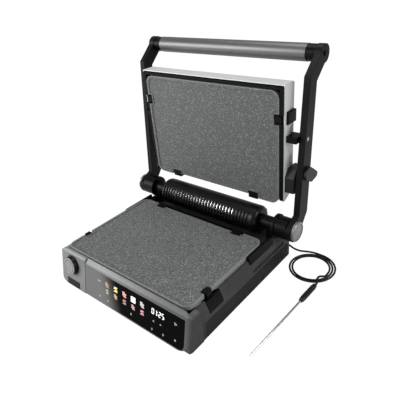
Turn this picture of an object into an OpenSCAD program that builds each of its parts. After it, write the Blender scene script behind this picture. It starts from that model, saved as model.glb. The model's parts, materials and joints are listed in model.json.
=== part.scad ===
// Electric indoor contact grill with a floating lid, shown open and upright.
// X runs to the right, Y to the back and Z up. Modules are drawn with Y = 0 at
// the base's front and Z = 0 at its underside, and place() sets them on the feet.

/* [Base] */
// Width of the base
base_w = 350; // [330:1:380]
// Depth of the base from front to back
base_d = 330; // [322:1:360]
// Height of the louvred lower wall
wall_h = 37; // [34:1:39]
// Height of the housing's inner rim
rim_h = 65.5; // [64:0.5:67]
// Height of the front ridge
ridge_h = 73.2; // [72:0.2:74]
// How far each side leans in at the rim
side_lean = 10; // [8:0.5:11]
// Depth of the front housing block
front_block_d = 38; // [34:1:44]
// Forward reach of the front face at its foot
front_toe = 1.5; // [0:0.5:6]
// Angle that the front face leans back by
face_tilt = 13; // [10:0.5:15]
// Height at which the front face turns back into the ridge
face_top_h = 63; // [62:0.5:65]
// Right end of the knob's panel
panel_x = -92; // [-98:1:-88]
// How far the knob's panel stands out of the front face
panel_proud = 1; // [0.5:0.1:2]
// Radius of the upright front corners
corner_r = 12; // [4:1:16]
// Radius of the front face's lower corners
face_corner_r = 28; // [10:1:32]
// Wall thickness of the plastic shells
shell_t = 3; // [2:0.5:4]
// Height of the rubber feet
foot_h = 4; // [3:0.5:10]
// Radius of the rubber feet
foot_r = 11; // [6:0.5:14]
// Width and depth between the feet's centres
foot_span = [290, 248]; // [200:1:300]
// Number of louvre grooves in each side wall
louvre_count = 6; // [3:1:6]
// Height of one louvre groove
louvre_h = 2.4; // [1.5:0.1:3]
// Depth of the louvre grooves
louvre_cut = 1.2; // [0.5:0.1:1.6]

/* [Front panel] */
// Left and right ends of the display window
display_x = [-91.5, 163]; // [-91.5:0.5:164]
// Lower and upper edges of the display window, along the face
display_z = [2.5, 62.5]; // [2:0.5:64]
// Radius of the display's lower right corner
display_r = 12; // [3:1:20]
// Thickness of the display glass
display_t = 2; // [1:0.25:3]
// Radius of the control knob at its front
knob_r = 17.4; // [14:0.2:18]
// Radius of the knob's dark skirt
knob_skirt_r = 19.4; // [18:0.2:20]
// How far the control knob stands out
knob_proud = 9; // [6:0.5:12]
// Distance of the knob's axis from the centre, to the left
knob_x = 131.5; // [129:0.5:134]
// Height of the knob's axis on the front face
knob_h = 46.5; // [44:0.5:48]
// Radius of the knob's shaft
knob_shaft_r = 3; // [2:0.25:4]
// Left and right ends of the socket cover
socket_x = [-150, -110]; // [-152:1:-100]
// Lower and upper edges of the socket cover
socket_z = [1.3, 15]; // [1:0.1:20]
// Gap round the knob's skirt in its recess
knob_gap = 0.6; // [0.4:0.1:1.5]

/* [Plates] */
// Width of each grill plate
plate_w = 321; // [300:1:324]
// Depth of each grill plate
plate_d = 220; // [200:1:222]
// Thickness of each grill plate
plate_t = 8.8; // [7:0.2:9.4]
// Height of the lower plate's cooking face
plate_h = 74.8; // [74:0.2:76]
// Gap between the front of the base and the lower plate
plate_front = 23.8; // [23:0.2:26]
// Corner radius of the plates
plate_corner_r = 16; // [8:1:20]
// Width of the raised rim round the cooking face
plate_rim = 6; // [4:0.5:8]
// Depth of the cooking face below the rim
plate_dish = 1.2; // [0.6:0.1:2]
// Distance of the latch notches from the hinge edge
notch_along = 169; // [160:1:175]
// Width of the latch notches
notch_w = 20; // [16:1:24]
// Depth of the latch notches
notch_d = 10; // [8:0.5:12]
// Reach of the lower release buttons in front of their notches
latch_front = 15; // [12:0.5:18]
// Reach of the lower release buttons behind their notches
latch_rear = 23; // [18:0.5:26]
// Distance of the hooks from the centre
hook_x = 102; // [80:1:110]
// Width of the hooks
hook_w = 21; // [14:1:24]
// Length of the hook notches along the plate
hook_notch = 12; // [10:1:14]
// Depth of the step in the plate's hinge edge
edge_step = 5; // [3:0.5:6]

/* [Hinge and arms] */
// Distance of the hinge axis behind the front
hinge_y = 291; // [290:0.5:292]
// Height of the hinge axis
hinge_h = 84.4; // [84:0.1:86]
// Radius of the fixed hinge barrels
barrel_r = 22; // [18:0.5:23]
// Distance of the hinge barrels' inner ends from the centre
barrel_in = 161; // [154:0.5:166]
// Width of the foot that carries each hinge barrel
barrel_foot = 15; // [10:0.5:18]
// Radius of the hinge pins
hinge_pin_r = 7; // [5:0.5:8]
// Distance of the arms' inner faces from the centre
arm_x = 191; // [190:0.5:196]
// Thickness of the arms across the object
arm_t = 12.5; // [10:0.5:14]
// Width of the arms above the hinge, seen from the side
arm_w = 32; // [26:0.5:34]
// Width of the arms at their bend
arm_top_w = 24; // [20:0.5:28]
// Radius of the end caps over the hinge
cap_r = 20; // [16:0.5:21]
// Thickness of the end caps
cap_t = 6; // [4:0.5:8]
// Distance of the handle's axis behind the front
handle_y = 379; // [375:1:383]
// Height of the handle's axis
handle_h = 394; // [390:1:398]
// Radius of the handle tube
handle_r = 15.5; // [12:0.5:16]
// Length of the black collar between the handle tube and each arm
collar_len = 18; // [14:1:26]
// Wall thickness of the handle tube
handle_wall = 1.8; // [1:0.1:3]
// Distance of the lid's pivot behind the front
pivot_y = 329; // [327:0.5:330]
// Height of the lid's pivot
pivot_h = 258; // [254:1:262]
// Radius of the lid's pivot pins
pivot_pin_r = 4; // [3:0.25:5]

/* [Lid] */
// Half the width of the lid cover
lid_half = 170.2; // [168:0.2:172]
// Distance of the lid plate's cooking face behind the front
lid_face_y = 300.4; // [300:0.2:301]
// Height of the lid plate's hinge edge
lid_plate_h = 126; // [125.5:0.5:127]
// Height of the lid cover's top
lid_top = 356; // [354:1:358]
// Height of the lid cover's lower front edge
lid_bottom = 133; // [132:1:135]
// Distance of the lid cover's back behind the front
lid_back_y = 343; // [338:1:346]
// Rise of the cover's slanted underside
lid_rise = 16; // [10:1:20]
// Wall thickness of the lid cover
cover_t = 1.6; // [1:0.1:2.5]
// Height of one slanted vent slot in the cover's sides
vent_h = 2.2; // [1.4:0.1:3]
// Length of the slanted vent slots
vent_len = 15; // [8:1:18]

/* [Smoke hood] */
// Radius of the round hood
hood_r = 29; // [27:0.5:31]
// Half the length of the hood
hood_half = 128; // [120:1:134]
// Radius of the hood's rounded ends
hood_end_r = 9; // [4:1:12]
// Wall thickness of the hood
hood_t = 2.5; // [1.5:0.25:4]
// Reach of the hood's rear box behind the hinge axis
hood_back = 27; // [24:0.5:30]
// Height of the hood's rear box above the hinge axis
hood_back_rise = 12; // [8:0.5:16]
// Lower and upper ends of the slots, from the hinge axis
slot_z = [-22, 22]; // [-23:1:23]
// Width of one slot in the hood
slot_w = 4; // [2.5:0.25:5]
// Distance from slot to slot
slot_pitch = 7.8; // [7:0.1:10]
// Left and right ends of the row of slots
slot_x = [-118, 112]; // [-120:1:118]
// Radius of the fan rotor
rotor_r = 20; // [14:0.5:21]
// Left and right ends of the fan rotor
rotor_x = [-104, 74]; // [-108:1:80]
// Number of blades of the fan rotor
blade_count = 16; // [8:1:24]
// Radius of the fan motor
motor_r = 20; // [14:0.5:23]

/* [Heaters] */
// Radius of the tubular heating elements
heater_r = 3.3; // [2.5:0.1:4]
// Distance between the long runs of a heating element
heater_pitch = 56; // [40:1:60]
// Half the length of a heating element's long runs
heater_half = 115; // [90:1:116]
// Sheet thickness of the reflectors
reflector_t = 1; // [0.8:0.1:1.5]
// Width and depth of the reflectors
reflector_size = [300, 184]; // [170:1:304]
// Depth of the reflectors
reflector_h = 14; // [11:0.5:16]

/* [Drip tray] */
// Width of the drip tray
drip_w = 216; // [160:1:230]
// Depth of the drip tray
drip_d = 118; // [90:1:130]
// Height of the drip tray
drip_h = 17; // [12:1:19]
// Wall thickness of the drip tray
drip_t = 2; // [1.5:0.25:3]

/* [Probe] */
// Diameter of the probe's cable
cable_d = 4; // [3:0.25:4.5]
// Radius of the probe's grip
grip_r = 5.3; // [4:0.1:6]
// Length of the probe's grip
grip_len = 54; // [40:1:60]
// Radius of the probe's rod
rod_r = 1.9; // [1.2:0.1:2.5]
// Length of the probe's rod
rod_len = 160; // [100:1:170]
// Radius of the probe's plug
plug_r = 4.5; // [3:0.25:6]
// Length of the probe's plug
plug_len = 11.5; // [10:0.5:16]
// Sideways reach of the plug's cable outlet
plug_side = 7.5; // [6:0.5:10]

/* [Fits] */
// Radial clearance between a pin and its bore
pin_fit = 0.05; // [0.02:0.01:0.1]
// Gap between parts that sit next to each other
gap = 0.5; // [0.3:0.1:0.6]
// Gap between parts that move past each other
swing_gap = 1; // [0.8:0.1:1.2]

/* [Hidden] */
$fn = 48;
eps = 0.01;

base_half = base_w / 2;
rim_half = base_half - side_lean;
hinge_edge_y = plate_front + plate_d;
plate_back_h = plate_h - plate_t;
arm_out = arm_x + arm_t;
handle_half = arm_x - collar_len;
cap_out = arm_out + cap_t;
arm_end_r = handle_r + 0.5;
knob_front_y = face_y(knob_h) - (knob_proud + panel_proud) * cos(face_tilt) - (knob_r - 0.8) * sin(face_tilt);
mid_y = (handle_y + arm_end_r + knob_front_y) / 2;
floor_t = shell_t;
deck_top = plate_back_h - 0.5 - reflector_h;
deck_bottom = deck_top - shell_t;
well_half = plate_w / 2 + 1.2;

// Place of the leaning front face at a height
function face_y(z) = -front_toe + z * tan(face_tilt);

// Sets a piece on the leaning front face, where its Y runs inwards and its Z up along the face
module on_face(x, z) {
    translate([x, face_y(z), z]) rotate([-face_tilt, 0, 0]) children();
}

// Sets a piece that was drawn from the base's front underside on its feet
module place() {
    translate([0, -mid_y, foot_h]) children();
}

// Points of an arc round c from angle a0 to a1
function arc(c, r, a0, a1, n) = [for (i = [0 : n]) let (a = a0 + (a1 - a0) * i / n) c + r * [cos(a), sin(a)]];

// A rounded rectangle, centred
module round_rect(w, d, r) {
    square([w - 2 * r, d], center = true);
    square([w, d - 2 * r], center = true);
    for (x = [-1, 1]) {
        for (y = [-1, 1]) {
            translate([x * (w / 2 - r), y * (d / 2 - r)]) circle(r = r);
        }
    }
}

// A block between two corners
module block(low, high) {
    translate(low) cube([high[0] - low[0], high[1] - low[1], high[2] - low[2]]);
}

// A rod along X between two places
module rod_x(x0, x1, y, z, r) {
    translate([x0, y, z]) rotate([0, 90, 0]) cylinder(h = x1 - x0, r = r);
}

// A rod along Y between two places
module rod_y(y0, y1, x, z, r) {
    translate([x, y0, z]) rotate([-90, 0, 0]) cylinder(h = y1 - y0, r = r);
}

// An outline in Y and Z carried along X from x0 to x1
module side_extrude(x0, x1) {
    translate([x0, 0, 0]) rotate([90, 0, 90]) linear_extrude(height = x1 - x0) children();
}

// An outline in X and Z carried along Y from y0 to y1
module front_extrude(y0, y1) {
    translate([0, y1, 0]) rotate([90, 0, 0]) linear_extrude(height = y1 - y0) children();
}

// ---- Base ----

front_gap_y = plate_front - 2.8;
tray_half = base_half - 1;
tray_front = front_block_d;
tray_top = wall_h - 0.3;
louvre_pitch = (wall_h - 7) / louvre_count;
drip_front = base_d - drip_d - 2;
drip_bottom = floor_t + gap;
foot_y = 52;

// Front outline of the housing, upright at the sides and rounded in to the ridge
module housing_outline(foot_z) {
    polygon([
        [-base_half, foot_z], [base_half, foot_z], [base_half, 54],
        [base_half - 0.8, 59], [base_half - 2.8, 63.5], [base_half - 6, 67.5], [base_half - 11, ridge_h - 2.6],
        [base_half - 17, ridge_h + 1], [17 - base_half, ridge_h + 1], [11 - base_half, ridge_h - 2.6],
        [6 - base_half, 67.5], [2.8 - base_half, 63.5], [0.8 - base_half, 59], [-base_half, 54]
    ]);
}

// Side outline of the front block: a rounded edge above the face and a scoop up to the plate.
// It starts in front of the leaning face, which the plan cuts.
module front_profile() {
    edge = [face_y(face_top_h), face_top_h];
    polygon([
        [face_y(0) - 4, 0], edge - [2.7, 6.6], edge + [0.9, 2.2], edge + [2.3, 3.8],
        [front_gap_y - 3.9, ridge_h - 5], [front_gap_y - 2.1, ridge_h - 3.3], [front_gap_y - 0.8, ridge_h - 1.2],
        [front_gap_y, ridge_h], [front_gap_y, rim_h], [front_block_d, rim_h], [front_block_d, 0]
    ]);
}

// Side outline of the knob's panel, which stands out of the face and reaches up to the ridge
module panel_profile() {
    edge = [face_y(ridge_h - 4) - panel_proud / cos(face_tilt), ridge_h - 4];
    shoulder = [front_gap_y - 4.6, ridge_h - 1.4];
    polygon([
        [face_y(0) - 4, 0], 2 * edge - shoulder, shoulder, [front_gap_y - 2.4, ridge_h - 0.3],
        [front_gap_y, ridge_h], [front_gap_y, rim_h], [front_block_d, rim_h], [front_block_d, 0]
    ]);
}

// Plan outline of the housing, round at its upright front corners
module housing_plan(y0, y1) {
    translate([0, (y0 + y1) / 2]) round_rect(base_w, y1 - y0, corner_r);
}

// Upright of the housing's plan that leans with the face and starts proud of it
module leaning_plan(proud) {
    on_face(0, 0) translate([0, 0, -20]) linear_extrude(height = 140)
        housing_plan(-proud, front_block_d + 2 * corner_r);
}

module front_block() {
    intersection() {
        front_extrude(-front_toe - 5, front_block_d) housing_outline(0);
        union() {
            intersection() {
                side_extrude(panel_x - 1, base_half) front_profile();
                leaning_plan(0);
            }
            intersection() {
                side_extrude(-base_half, panel_x) panel_profile();
                leaning_plan(panel_proud);
            }
        }
        union() {
            on_face(0, 0) front_extrude(-3, 5) translate([0, 75]) round_rect(base_w, 150, face_corner_r);
            on_face(0, 0) block([-base_half, 4.5, -40], [base_half, 120, 120]);
        }
    }
}

latch_y = hinge_edge_y - notch_along;
latch_span = [latch_y - latch_front, latch_y + latch_rear];
latch_axis = [166, 57];
latch_pin_r = 1.5;
latch_slot = [42, 66.2];

// Section of a side band, from a lip inside the lower wall up to the rim
module band_section() {
    polygon([
        [base_half - 0.4, wall_h], [base_half - 2.6, 51], [rim_half, rim_h], [rim_half - 3.2, rim_h],
        [rim_half - 3.2, 60], [base_half - 8, wall_h], [base_half - 8, wall_h - 5],
        [base_half - 5, wall_h - 5], [base_half - 5, wall_h]
    ]);
}

module side_bands() {
    for (s = [0, 1]) {
        mirror([s, 0, 0]) {
            front_extrude(front_block_d - 1, hinge_y + 27) band_section();
        }
    }
}

// Low shelf that closes the base behind the hinge
module rear_shelf() {
    intersection() {
        translate([0, base_d - 50, wall_h]) linear_extrude(height = deck_top - wall_h)
            round_rect(2 * (tray_half - shell_t), 100, corner_r);
        block([-base_half, hinge_y + 20, 0], [base_half, base_d + 1, 100]);
    }
}

// Solid blocks in the side bands that carry the latch pins
module latch_lugs() {
    for (s = [0, 1]) {
        mirror([s, 0, 0]) {
            intersection() {
                front_extrude(latch_span[0] - 6, latch_span[1] + 6)
                    polygon([
                        [base_half - 0.4, wall_h], [base_half - 2.6, 51], [rim_half, rim_h],
                        [plate_w / 2 + 1.3, rim_h], [plate_w / 2 + 1.3, wall_h]
                    ]);
                union() {
                    block([100, latch_span[0] - 6, 0], [200, latch_span[0], 100]);
                    block([100, latch_span[1], 0], [200, latch_span[1] + 6, 100]);
                }
            }
        }
    }
}

module upper_housing() {
    color("#6f7377")
    difference() {
        union() {
            front_block();
            side_bands();
            latch_lugs();
            rear_shelf();
            block([-rim_half, front_block_d - 1, deck_bottom], [rim_half, hinge_y + 22, deck_top]);
        }
        // hollow behind the leaning face, open to the back, with a pocket for the encoder
        intersection() {
            on_face(0, 0) block([-base_half + 8, 7.5, -40], [base_half - 8, 120, 120]);
            block([-base_half + 8, -10, floor_t], [base_half - 8, front_block_d + 1, deck_bottom]);
        }
        on_face(-knob_x, knob_h) {
            block([-8.5, 4, -8.5], [8.5, 8.6, 8]);
            block([-8.5, 8, -8.5], [8.5, 12, knob_shaft_r + 2.6]);
        }
        // hollow under the rear shelf
        block([-base_half + 9, hinge_y + 19, wall_h - 1], [base_half - 9, base_d - shell_t, deck_bottom]);
        // the display glass sits in a recess with a window behind it
        display_shape(-3, display_t, 0.3);
        on_face(0, 0) block([display_x[0] + 6, 0, display_z[0] + 6], [display_x[1] - 14, 8, deck_bottom - 3]);
        // well for the plate
        block([-well_half, front_gap_y, deck_top], [well_half, 45, 90]);
        // bore for the knob's shaft, with a round recess in front
        on_face(-knob_x, knob_h) {
            rod_y(-10, 8, 0, 0, knob_shaft_r + 1);
            rod_y(-10, 0.5, 0, 0, knob_skirt_r + knob_gap);
        }
        // seat of the socket cover
        on_face(0, 0) block([socket_x[0] - 0.3, -5, socket_z[0] - 0.3], [socket_x[1] + 0.3, 1.6, socket_z[1] + 0.3]);
        // holes for the plate's sensor and for grease on its way to the drip tray
        translate([0, hinge_edge_y + sensor_y, deck_bottom - 1]) cylinder(h = shell_t + 2, r = 13);
        block([-100, hinge_edge_y + 6, deck_bottom - 1], [100, hinge_edge_y + 14, deck_top + 1]);
        for (s = [0, 1]) {
            mirror([s, 0, 0]) {
                block([150, latch_span[0], latch_slot[0]], [180, latch_span[1], latch_slot[1]]);
                rod_y(latch_span[0] - 5, latch_span[1] + 5, latch_axis[0], latch_axis[1], latch_pin_r + pin_fit);
                // long dark vent in the rear of the band
                block([base_half - 3.4, 188, wall_h + 3], [base_half + 1, 298, wall_h + 9]);
                // room round the hinge barrel
                rod_x(barrel_in - 11, 200, hinge_y, hinge_h, barrel_r + 2.5);
            }
        }
    }
}

// Half width and back of the lower shell's inside, and the radius of its rear corners
well = [tray_half - shell_t - 1, base_d - shell_t - 1];
well_r = max(0.5, corner_r - shell_t - 1);

// Lower shell with louvred sides, a floor and a mouth for the drip tray
module base_tray() {
    color("#26282a")
    difference() {
        union() {
            block([-tray_half, tray_front, 0], [tray_half, base_d - corner_r, tray_top]);
            block([-tray_half + corner_r, base_d - corner_r - eps, 0], [tray_half - corner_r, base_d, tray_top]);
            for (s = [-1, 1]) {
                translate([s * (tray_half - corner_r), base_d - corner_r, 0]) cylinder(h = tray_top, r = corner_r);
            }
        }
        block([-well.x, tray_front - 1, floor_t], [well.x, well.y - well_r, tray_top + 1]);
        block([-well.x + well_r, well.y - well_r - eps, floor_t], [well.x - well_r, well.y, tray_top + 1]);
        for (s = [-1, 1]) {
            translate([s * (well.x - well_r), well.y - well_r, floor_t]) cylinder(h = tray_top, r = well_r);
        }
        for (s = [0, 1]) {
            mirror([s, 0, 0]) {
                for (i = [0 : louvre_count - 1]) {
                    z = 4 + i * louvre_pitch;
                    block([tray_half - louvre_cut, tray_front + 8, z], [tray_half + 1, base_d - 16, z + louvre_h]);
                }
            }
        }
        block([-drip_w / 2 - 1, base_d - 10, drip_bottom - gap], [drip_w / 2 + 1, base_d + 1, drip_bottom + drip_h + 1]);
        rod_y(base_d - 10, base_d + 1, jack[0], jack[1], plug_r + 1.3);
        rod_y(base_d - 10, base_d + 1, -145, 18, 8);
        for (x = [-1, 1]) {
            for (y = [0, 1]) {
                translate([x * foot_span[0] / 2, foot_y + y * foot_span[1], -1]) cylinder(h = 10, r = 2);
            }
        }
    }
}

module each_foot() {
    for (x = [-1, 1]) {
        for (y = [foot_y, foot_y + foot_span[1]]) {
            translate([x * foot_span[0] / 2, y, 0]) children();
        }
    }
}

module bottom_feet() {
    color("#1b1b1b")
    each_foot() difference() {
        translate([0, 0, -foot_h]) cylinder(h = foot_h, r = foot_r);
        translate([0, 0, -foot_h - 1]) cylinder(h = foot_h * 0.5 + 1, r = 4.2);
        translate([0, 0, -foot_h - 1]) cylinder(h = foot_h + 2, r = 2.1);
    }
}

module bottom_screws() {
    color("silver")
    each_foot() {
        translate([0, 0, -foot_h * 0.5]) cylinder(h = foot_h * 0.5 + 2, r = 1.9);
        translate([0, 0, -foot_h * 0.5 - 1.2]) cylinder(h = 1.2, r = 3.6);
    }
}

// A slab of the display's outline on the leaning face from depth y0 to y1, grown by more
module display_shape(y0, y1, more) {
    x0 = display_x[0] - more;
    x1 = display_x[1] + more;
    z0 = display_z[0] - more;
    z1 = display_z[1] + more;
    on_face(0, 0) front_extrude(y0, y1) polygon(concat(
        [[x0, z1], [x0, z0]], arc([x1 - display_r, z0 + display_r], display_r, -90, 0, 8), [[x1, z1]]
    ));
}

module display_glass() {
    color("#0b0c0d")
    display_shape(-0.3, display_t, 0);
}

module control_board() {
    color("#1d5a36")
    on_face(0, 0) {
        block([display_x[0] + 8, 9, 8], [display_x[1] - 16, 10.6, deck_bottom - 5]);
        block([20, 10.6, 20], [50, 15, 34]);
        block([-60, 10.6, 20], [-40, 18, 34]);
    }
}

module knob_encoder() {
    color("#8a8d90")
    on_face(-knob_x, knob_h) difference() {
        union() {
            block([-7, 5, -7], [7, 8, 7]);
            block([-7, 8, -7], [7, 15, knob_shaft_r + 1.6]);
        }
        rod_y(4, 16, 0, 0, knob_shaft_r + pin_fit);
    }
}

module knob_shaft() {
    color("silver")
    on_face(-knob_x, knob_h) difference() {
        rod_y(3 - knob_proud, 13, 0, 0, knob_shaft_r);
        block([-5, 2 - knob_proud, knob_shaft_r - 0.8], [5, -1, knob_shaft_r + 6]);
    }
}

// Knob with a dark skirt at its foot and a groove round the disc of its front
module control_knob() {
    color("#8d9094")
    on_face(-knob_x, knob_h) rotate([90, 0, 0]) difference() {
        union() {
            cylinder(h = 1.8, r = knob_skirt_r);
            translate([0, 0, 1.8]) cylinder(h = knob_proud - 1.8, r1 = knob_skirt_r - 0.8, r2 = knob_r);
            translate([0, 0, knob_proud]) cylinder(h = panel_proud, r1 = knob_r, r2 = knob_r - 0.8);
        }
        translate([0, 0, knob_proud + panel_proud - 0.8]) difference() {
            cylinder(h = 2, r = knob_r - 3.8);
            translate([0, 0, -1]) cylinder(h = 4, r = knob_r - 4.9);
        }
        translate([0, 0, -1]) cylinder(h = knob_proud - 1.6, r = knob_shaft_r + pin_fit);
    }
}

module socket_cover() {
    color("#151515")
    on_face(0, 0) block([socket_x[0], -panel_proud - 0.2, socket_z[0]], [socket_x[1], 1.6, socket_z[1]]);
}

module power_board() {
    color("#2c6b3f") {
        block([-156, 60, 8], [-40, 140, 9.6]);
        block([-150, 70, 9.6], [-128, 96, 26]);
        block([-118, 70, 9.6], [-98, 90, 24]);
        block([-90, 100, 9.6], [-60, 130, 30]);
    }
    color("#c9c9c9")
    for (x = [-150, -46]) {
        for (y = [66, 134]) {
            translate([x, y, floor_t]) cylinder(h = 8 - floor_t, r = 3);
        }
    }
}

module mains_inlet() {
    color("#161616")
    difference() {
        union() {
            rod_y(base_d - shell_t - 5, base_d + 8, -145, 18, 7.9);
            rod_y(base_d, base_d + 3, -145, 18, 11);
        }
        rod_y(base_d - shell_t - 6, base_d + 9, -145, 18, 3.6);
    }
}

// ---- Plates, drawn with the hinge edge at Y = 0, running to -Y, face up at Z = 0 ----

module notch(depth, z0) {
    for (s = [-1, 1]) {
        translate([s * plate_w / 2, -notch_along, z0]) linear_extrude(height = plate_t + 2)
            round_rect(2 * depth, notch_w, 3);
    }
}

// Plate with a sunk cooking face and a rim that follows the notches for the latches and hooks
module grill_plate() {
    difference() {
        translate([0, -plate_d / 2, -plate_t]) linear_extrude(height = plate_t)
            round_rect(plate_w, plate_d, plate_corner_r);
        difference() {
            translate([0, -plate_d / 2, -plate_dish]) linear_extrude(height = plate_dish + 1)
                round_rect(plate_w - 2 * plate_rim, plate_d - 2 * plate_rim, plate_corner_r - plate_rim);
            for (s = [-1, 1]) {
                translate([s * plate_w / 2, -notch_along, -plate_t])
                    cube([2 * notch_d + 6, notch_w + 6, 3 * plate_t], center = true);
                translate([s * hook_x, 0, -plate_t])
                    cube([hook_w + 8, 2 * hook_notch + 6, 3 * plate_t], center = true);
            }
            translate([0, 0, -plate_t]) cube([2 * hook_x + 34, 2 * edge_step + 6, 3 * plate_t], center = true);
        }
        notch(notch_d, -plate_t - 1);
        for (s = [-1, 1]) {
            block([s * hook_x - hook_w / 2 - 1, -hook_notch, -plate_t - 1], [s * hook_x + hook_w / 2 + 1, 1, 1]);
        }
        block([-hook_x - 14, -edge_step, -plate_t - 1], [hook_x + 14, 1, 1]);
    }
}

// Stands a piece that was drawn like a plate in the lid, set back behind the cooking face
module in_lid(back) {
    translate([0, lid_face_y + back, lid_plate_h]) rotate([90, 0, 0]) rotate([0, 0, 180]) children();
}

module lower_plate() {
    color("#55585a")
    translate([0, hinge_edge_y, plate_h]) grill_plate();
}

module upper_plate() {
    color("#55585a")
    in_lid(0) grill_plate();
}

// Serpentine heating element, drawn like a plate with its axis at Z = 0
module heater_run(y) {
    rod_x(-heater_half, heater_half, y, 0, heater_r);
}

module heater_bend(side, y) {
    translate([side * heater_half, y, 0]) rotate([0, 0, side > 0 ? -90 : 90])
        rotate_extrude(angle = 180) translate([heater_pitch / 2, 0]) circle(r = heater_r, $fn = 24);
}

module heating_element() {
    mid = -plate_d / 2;
    heater_run(mid - heater_pitch);
    heater_run(mid);
    heater_run(mid + heater_pitch);
    heater_bend(1, mid - heater_pitch / 2);
    heater_bend(-1, mid + heater_pitch / 2);
}

heater_drop = plate_t + heater_r + 0.4;

module lower_heater() {
    color("#9a8f86")
    translate([0, hinge_edge_y, plate_h - heater_drop]) heating_element();
}

module upper_heater() {
    color("#9a8f86")
    in_lid(heater_drop) heating_element();
}

// Sheet dish that throws the heat back, with side flanges and saddles for the heating
// element, drawn like a plate with its lip at Z = 0
module reflector_dish() {
    w = reflector_size[0];
    d = reflector_size[1];
    difference() {
        union() {
            difference() {
                translate([-w / 2, -plate_d / 2 - d / 2, -reflector_h]) cube([w, d, reflector_h]);
                translate([-w / 2 + reflector_t, -plate_d / 2 - d / 2 + reflector_t, -reflector_h + reflector_t])
                    cube([w - 2 * reflector_t, d - 2 * reflector_t, reflector_h]);
            }
            for (s = [0, 1]) {
                mirror([s, 0, 0])
                    block([w / 2 - 1, -plate_d / 2 - d / 2, -reflector_t], [well_half, -plate_d / 2 + d / 2, 0]);
            }
            for (x = [-70, 70]) {
                for (i = [-1, 0, 1]) {
                    y = -plate_d / 2 + i * heater_pitch;
                    block([x - 3, y - 5, -reflector_h + 0.5], [x + 3, y + 5, -heater_r - 0.8]);
                }
            }
        }
        for (i = [-1, 0, 1]) {
            rod_x(-100, 100, -plate_d / 2 + i * heater_pitch, plate_t + 0.5 - heater_drop, heater_r + pin_fit);
        }
        for (s = [-1, 1]) {
            translate([s * well_half, -notch_along, 0]) cube([18, notch_w + 16, 4], center = true);
        }
        translate([0, sensor_y, -reflector_h - 1]) cylinder(h = 3, r = 9);
    }
}

module lower_reflector() {
    color("#c4c6c8")
    translate([0, hinge_edge_y, plate_back_h - 0.5]) reflector_dish();
}

module upper_reflector() {
    color("#c4c6c8")
    in_lid(plate_t + 0.5) reflector_dish();
}

sensor_y = -plate_d / 2 + heater_pitch / 2;

// Spring-loaded temperature sensor that presses on the plate's back
module plate_sensor() {
    back = -plate_t - 0.5 - reflector_h;
    translate([0, sensor_y, back - 0.5]) cylinder(h = reflector_h + 0.7, r = 8.5);
    translate([0, sensor_y, back - 2]) cylinder(h = 2, r = 12);
}

module lower_sensor() {
    color("#b8babc")
    translate([0, hinge_edge_y, plate_h]) plate_sensor();
}

module upper_sensor() {
    color("#b8babc")
    in_lid(0) plate_sensor();
}

// Fixed hooks that stand in the notches of a plate's hinge edge, drawn like a plate
module plate_hooks(root) {
    for (s = [-1, 1]) {
        block([s * hook_x - hook_w / 2, -hook_notch + 3, -plate_t + 1.5], [s * hook_x + hook_w / 2, root, -0.4]);
    }
}

module lower_hooks() {
    color("#101010")
    union() {
        translate([0, hinge_edge_y, plate_h]) plate_hooks(2.5);
        block([-hook_x - 12, hinge_edge_y + 2, deck_top], [hook_x + 12, hinge_edge_y + 4, plate_h - 0.4]);
    }
}

module upper_hooks() {
    color("#101010")
    in_lid(0) {
        plate_hooks(1);
        for (s = [-1, 1]) {
            block([s * hook_x - hook_w / 2, 0.6, -plate_t - 8], [s * hook_x + hook_w / 2, 2.6, -0.4]);
            block([s * hook_x - hook_w / 2, -10, -plate_t - 8], [s * hook_x + hook_w / 2, 2.6, -plate_t - 3]);
        }
    }
}

// ---- Drip tray ----

module drip_tray() {
    color("#3a3c3e")
    difference() {
        block([-drip_w / 2, drip_front, drip_bottom], [drip_w / 2, base_d + 4, drip_bottom + drip_h]);
        block(
            [-drip_w / 2 + drip_t, drip_front + drip_t, drip_bottom + drip_t],
            [drip_w / 2 - drip_t, base_d - 2, drip_bottom + drip_h + 1]
        );
        block([-30, base_d + 1.5, drip_bottom - 1], [30, base_d + 5, drip_bottom + 8]);
    }
}

// ---- Smoke hood and fan ----

hood_in = hood_r - hood_t;

// A drum round the hinge axis with rounded rims
module drum(half, r, edge) {
    translate([0, hinge_y, hinge_h]) rotate([0, 90, 0]) translate([0, 0, -half])
        rotate_extrude($fn = 96) difference() {
            square([r, 2 * half]);
            for (z = [0, 2 * half]) {
                difference() {
                    translate([r - edge, z == 0 ? 0 : z - edge]) square([edge, edge]);
                    translate([r - edge, z == 0 ? edge : z - edge]) circle(r = edge);
                }
            }
        }
}

hood_foot = deck_top + 4.5;
hood_back_y = hinge_y + hood_back;
hood_back_top = hinge_h + hood_back_rise;

module smoke_hood() {
    color("#101112")
    difference() {
        union() {
            intersection() {
                drum(hood_half, hood_r, hood_end_r);
                block([-200, 0, hood_foot], [200, 400, 200]);
            }
            block([-hood_half + 4, hinge_y, deck_top], [hood_half - 4, hood_back_y, hood_back_top]);
        }
        intersection() {
            drum(hood_half - hood_t, hood_in, hood_end_r);
            block([-200, 0, hood_foot - 1], [200, 400, 200]);
        }
        block([-hood_half + 7, hinge_y - 14, 40], [hood_half - 7, hood_back_y - hood_t, hood_back_top - hood_t]);
        for (x = [slot_x[0] : slot_pitch : slot_x[1]]) {
            block([x, hinge_y - hood_r - 2, hinge_h + slot_z[0]], [x + slot_w, hinge_y - 12, hinge_h + slot_z[1]]);
        }
        for (i = [0 : 11]) {
            block([-114 + i * 20, hood_back_y - 5, hinge_h - 18], [-106 + i * 20, hood_back_y + 1, hinge_h + 4]);
        }
    }
}

filter_r = hood_in - 2.1;
rotor_mid = (rotor_x[0] + rotor_x[1]) / 2 - 1;

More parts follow.
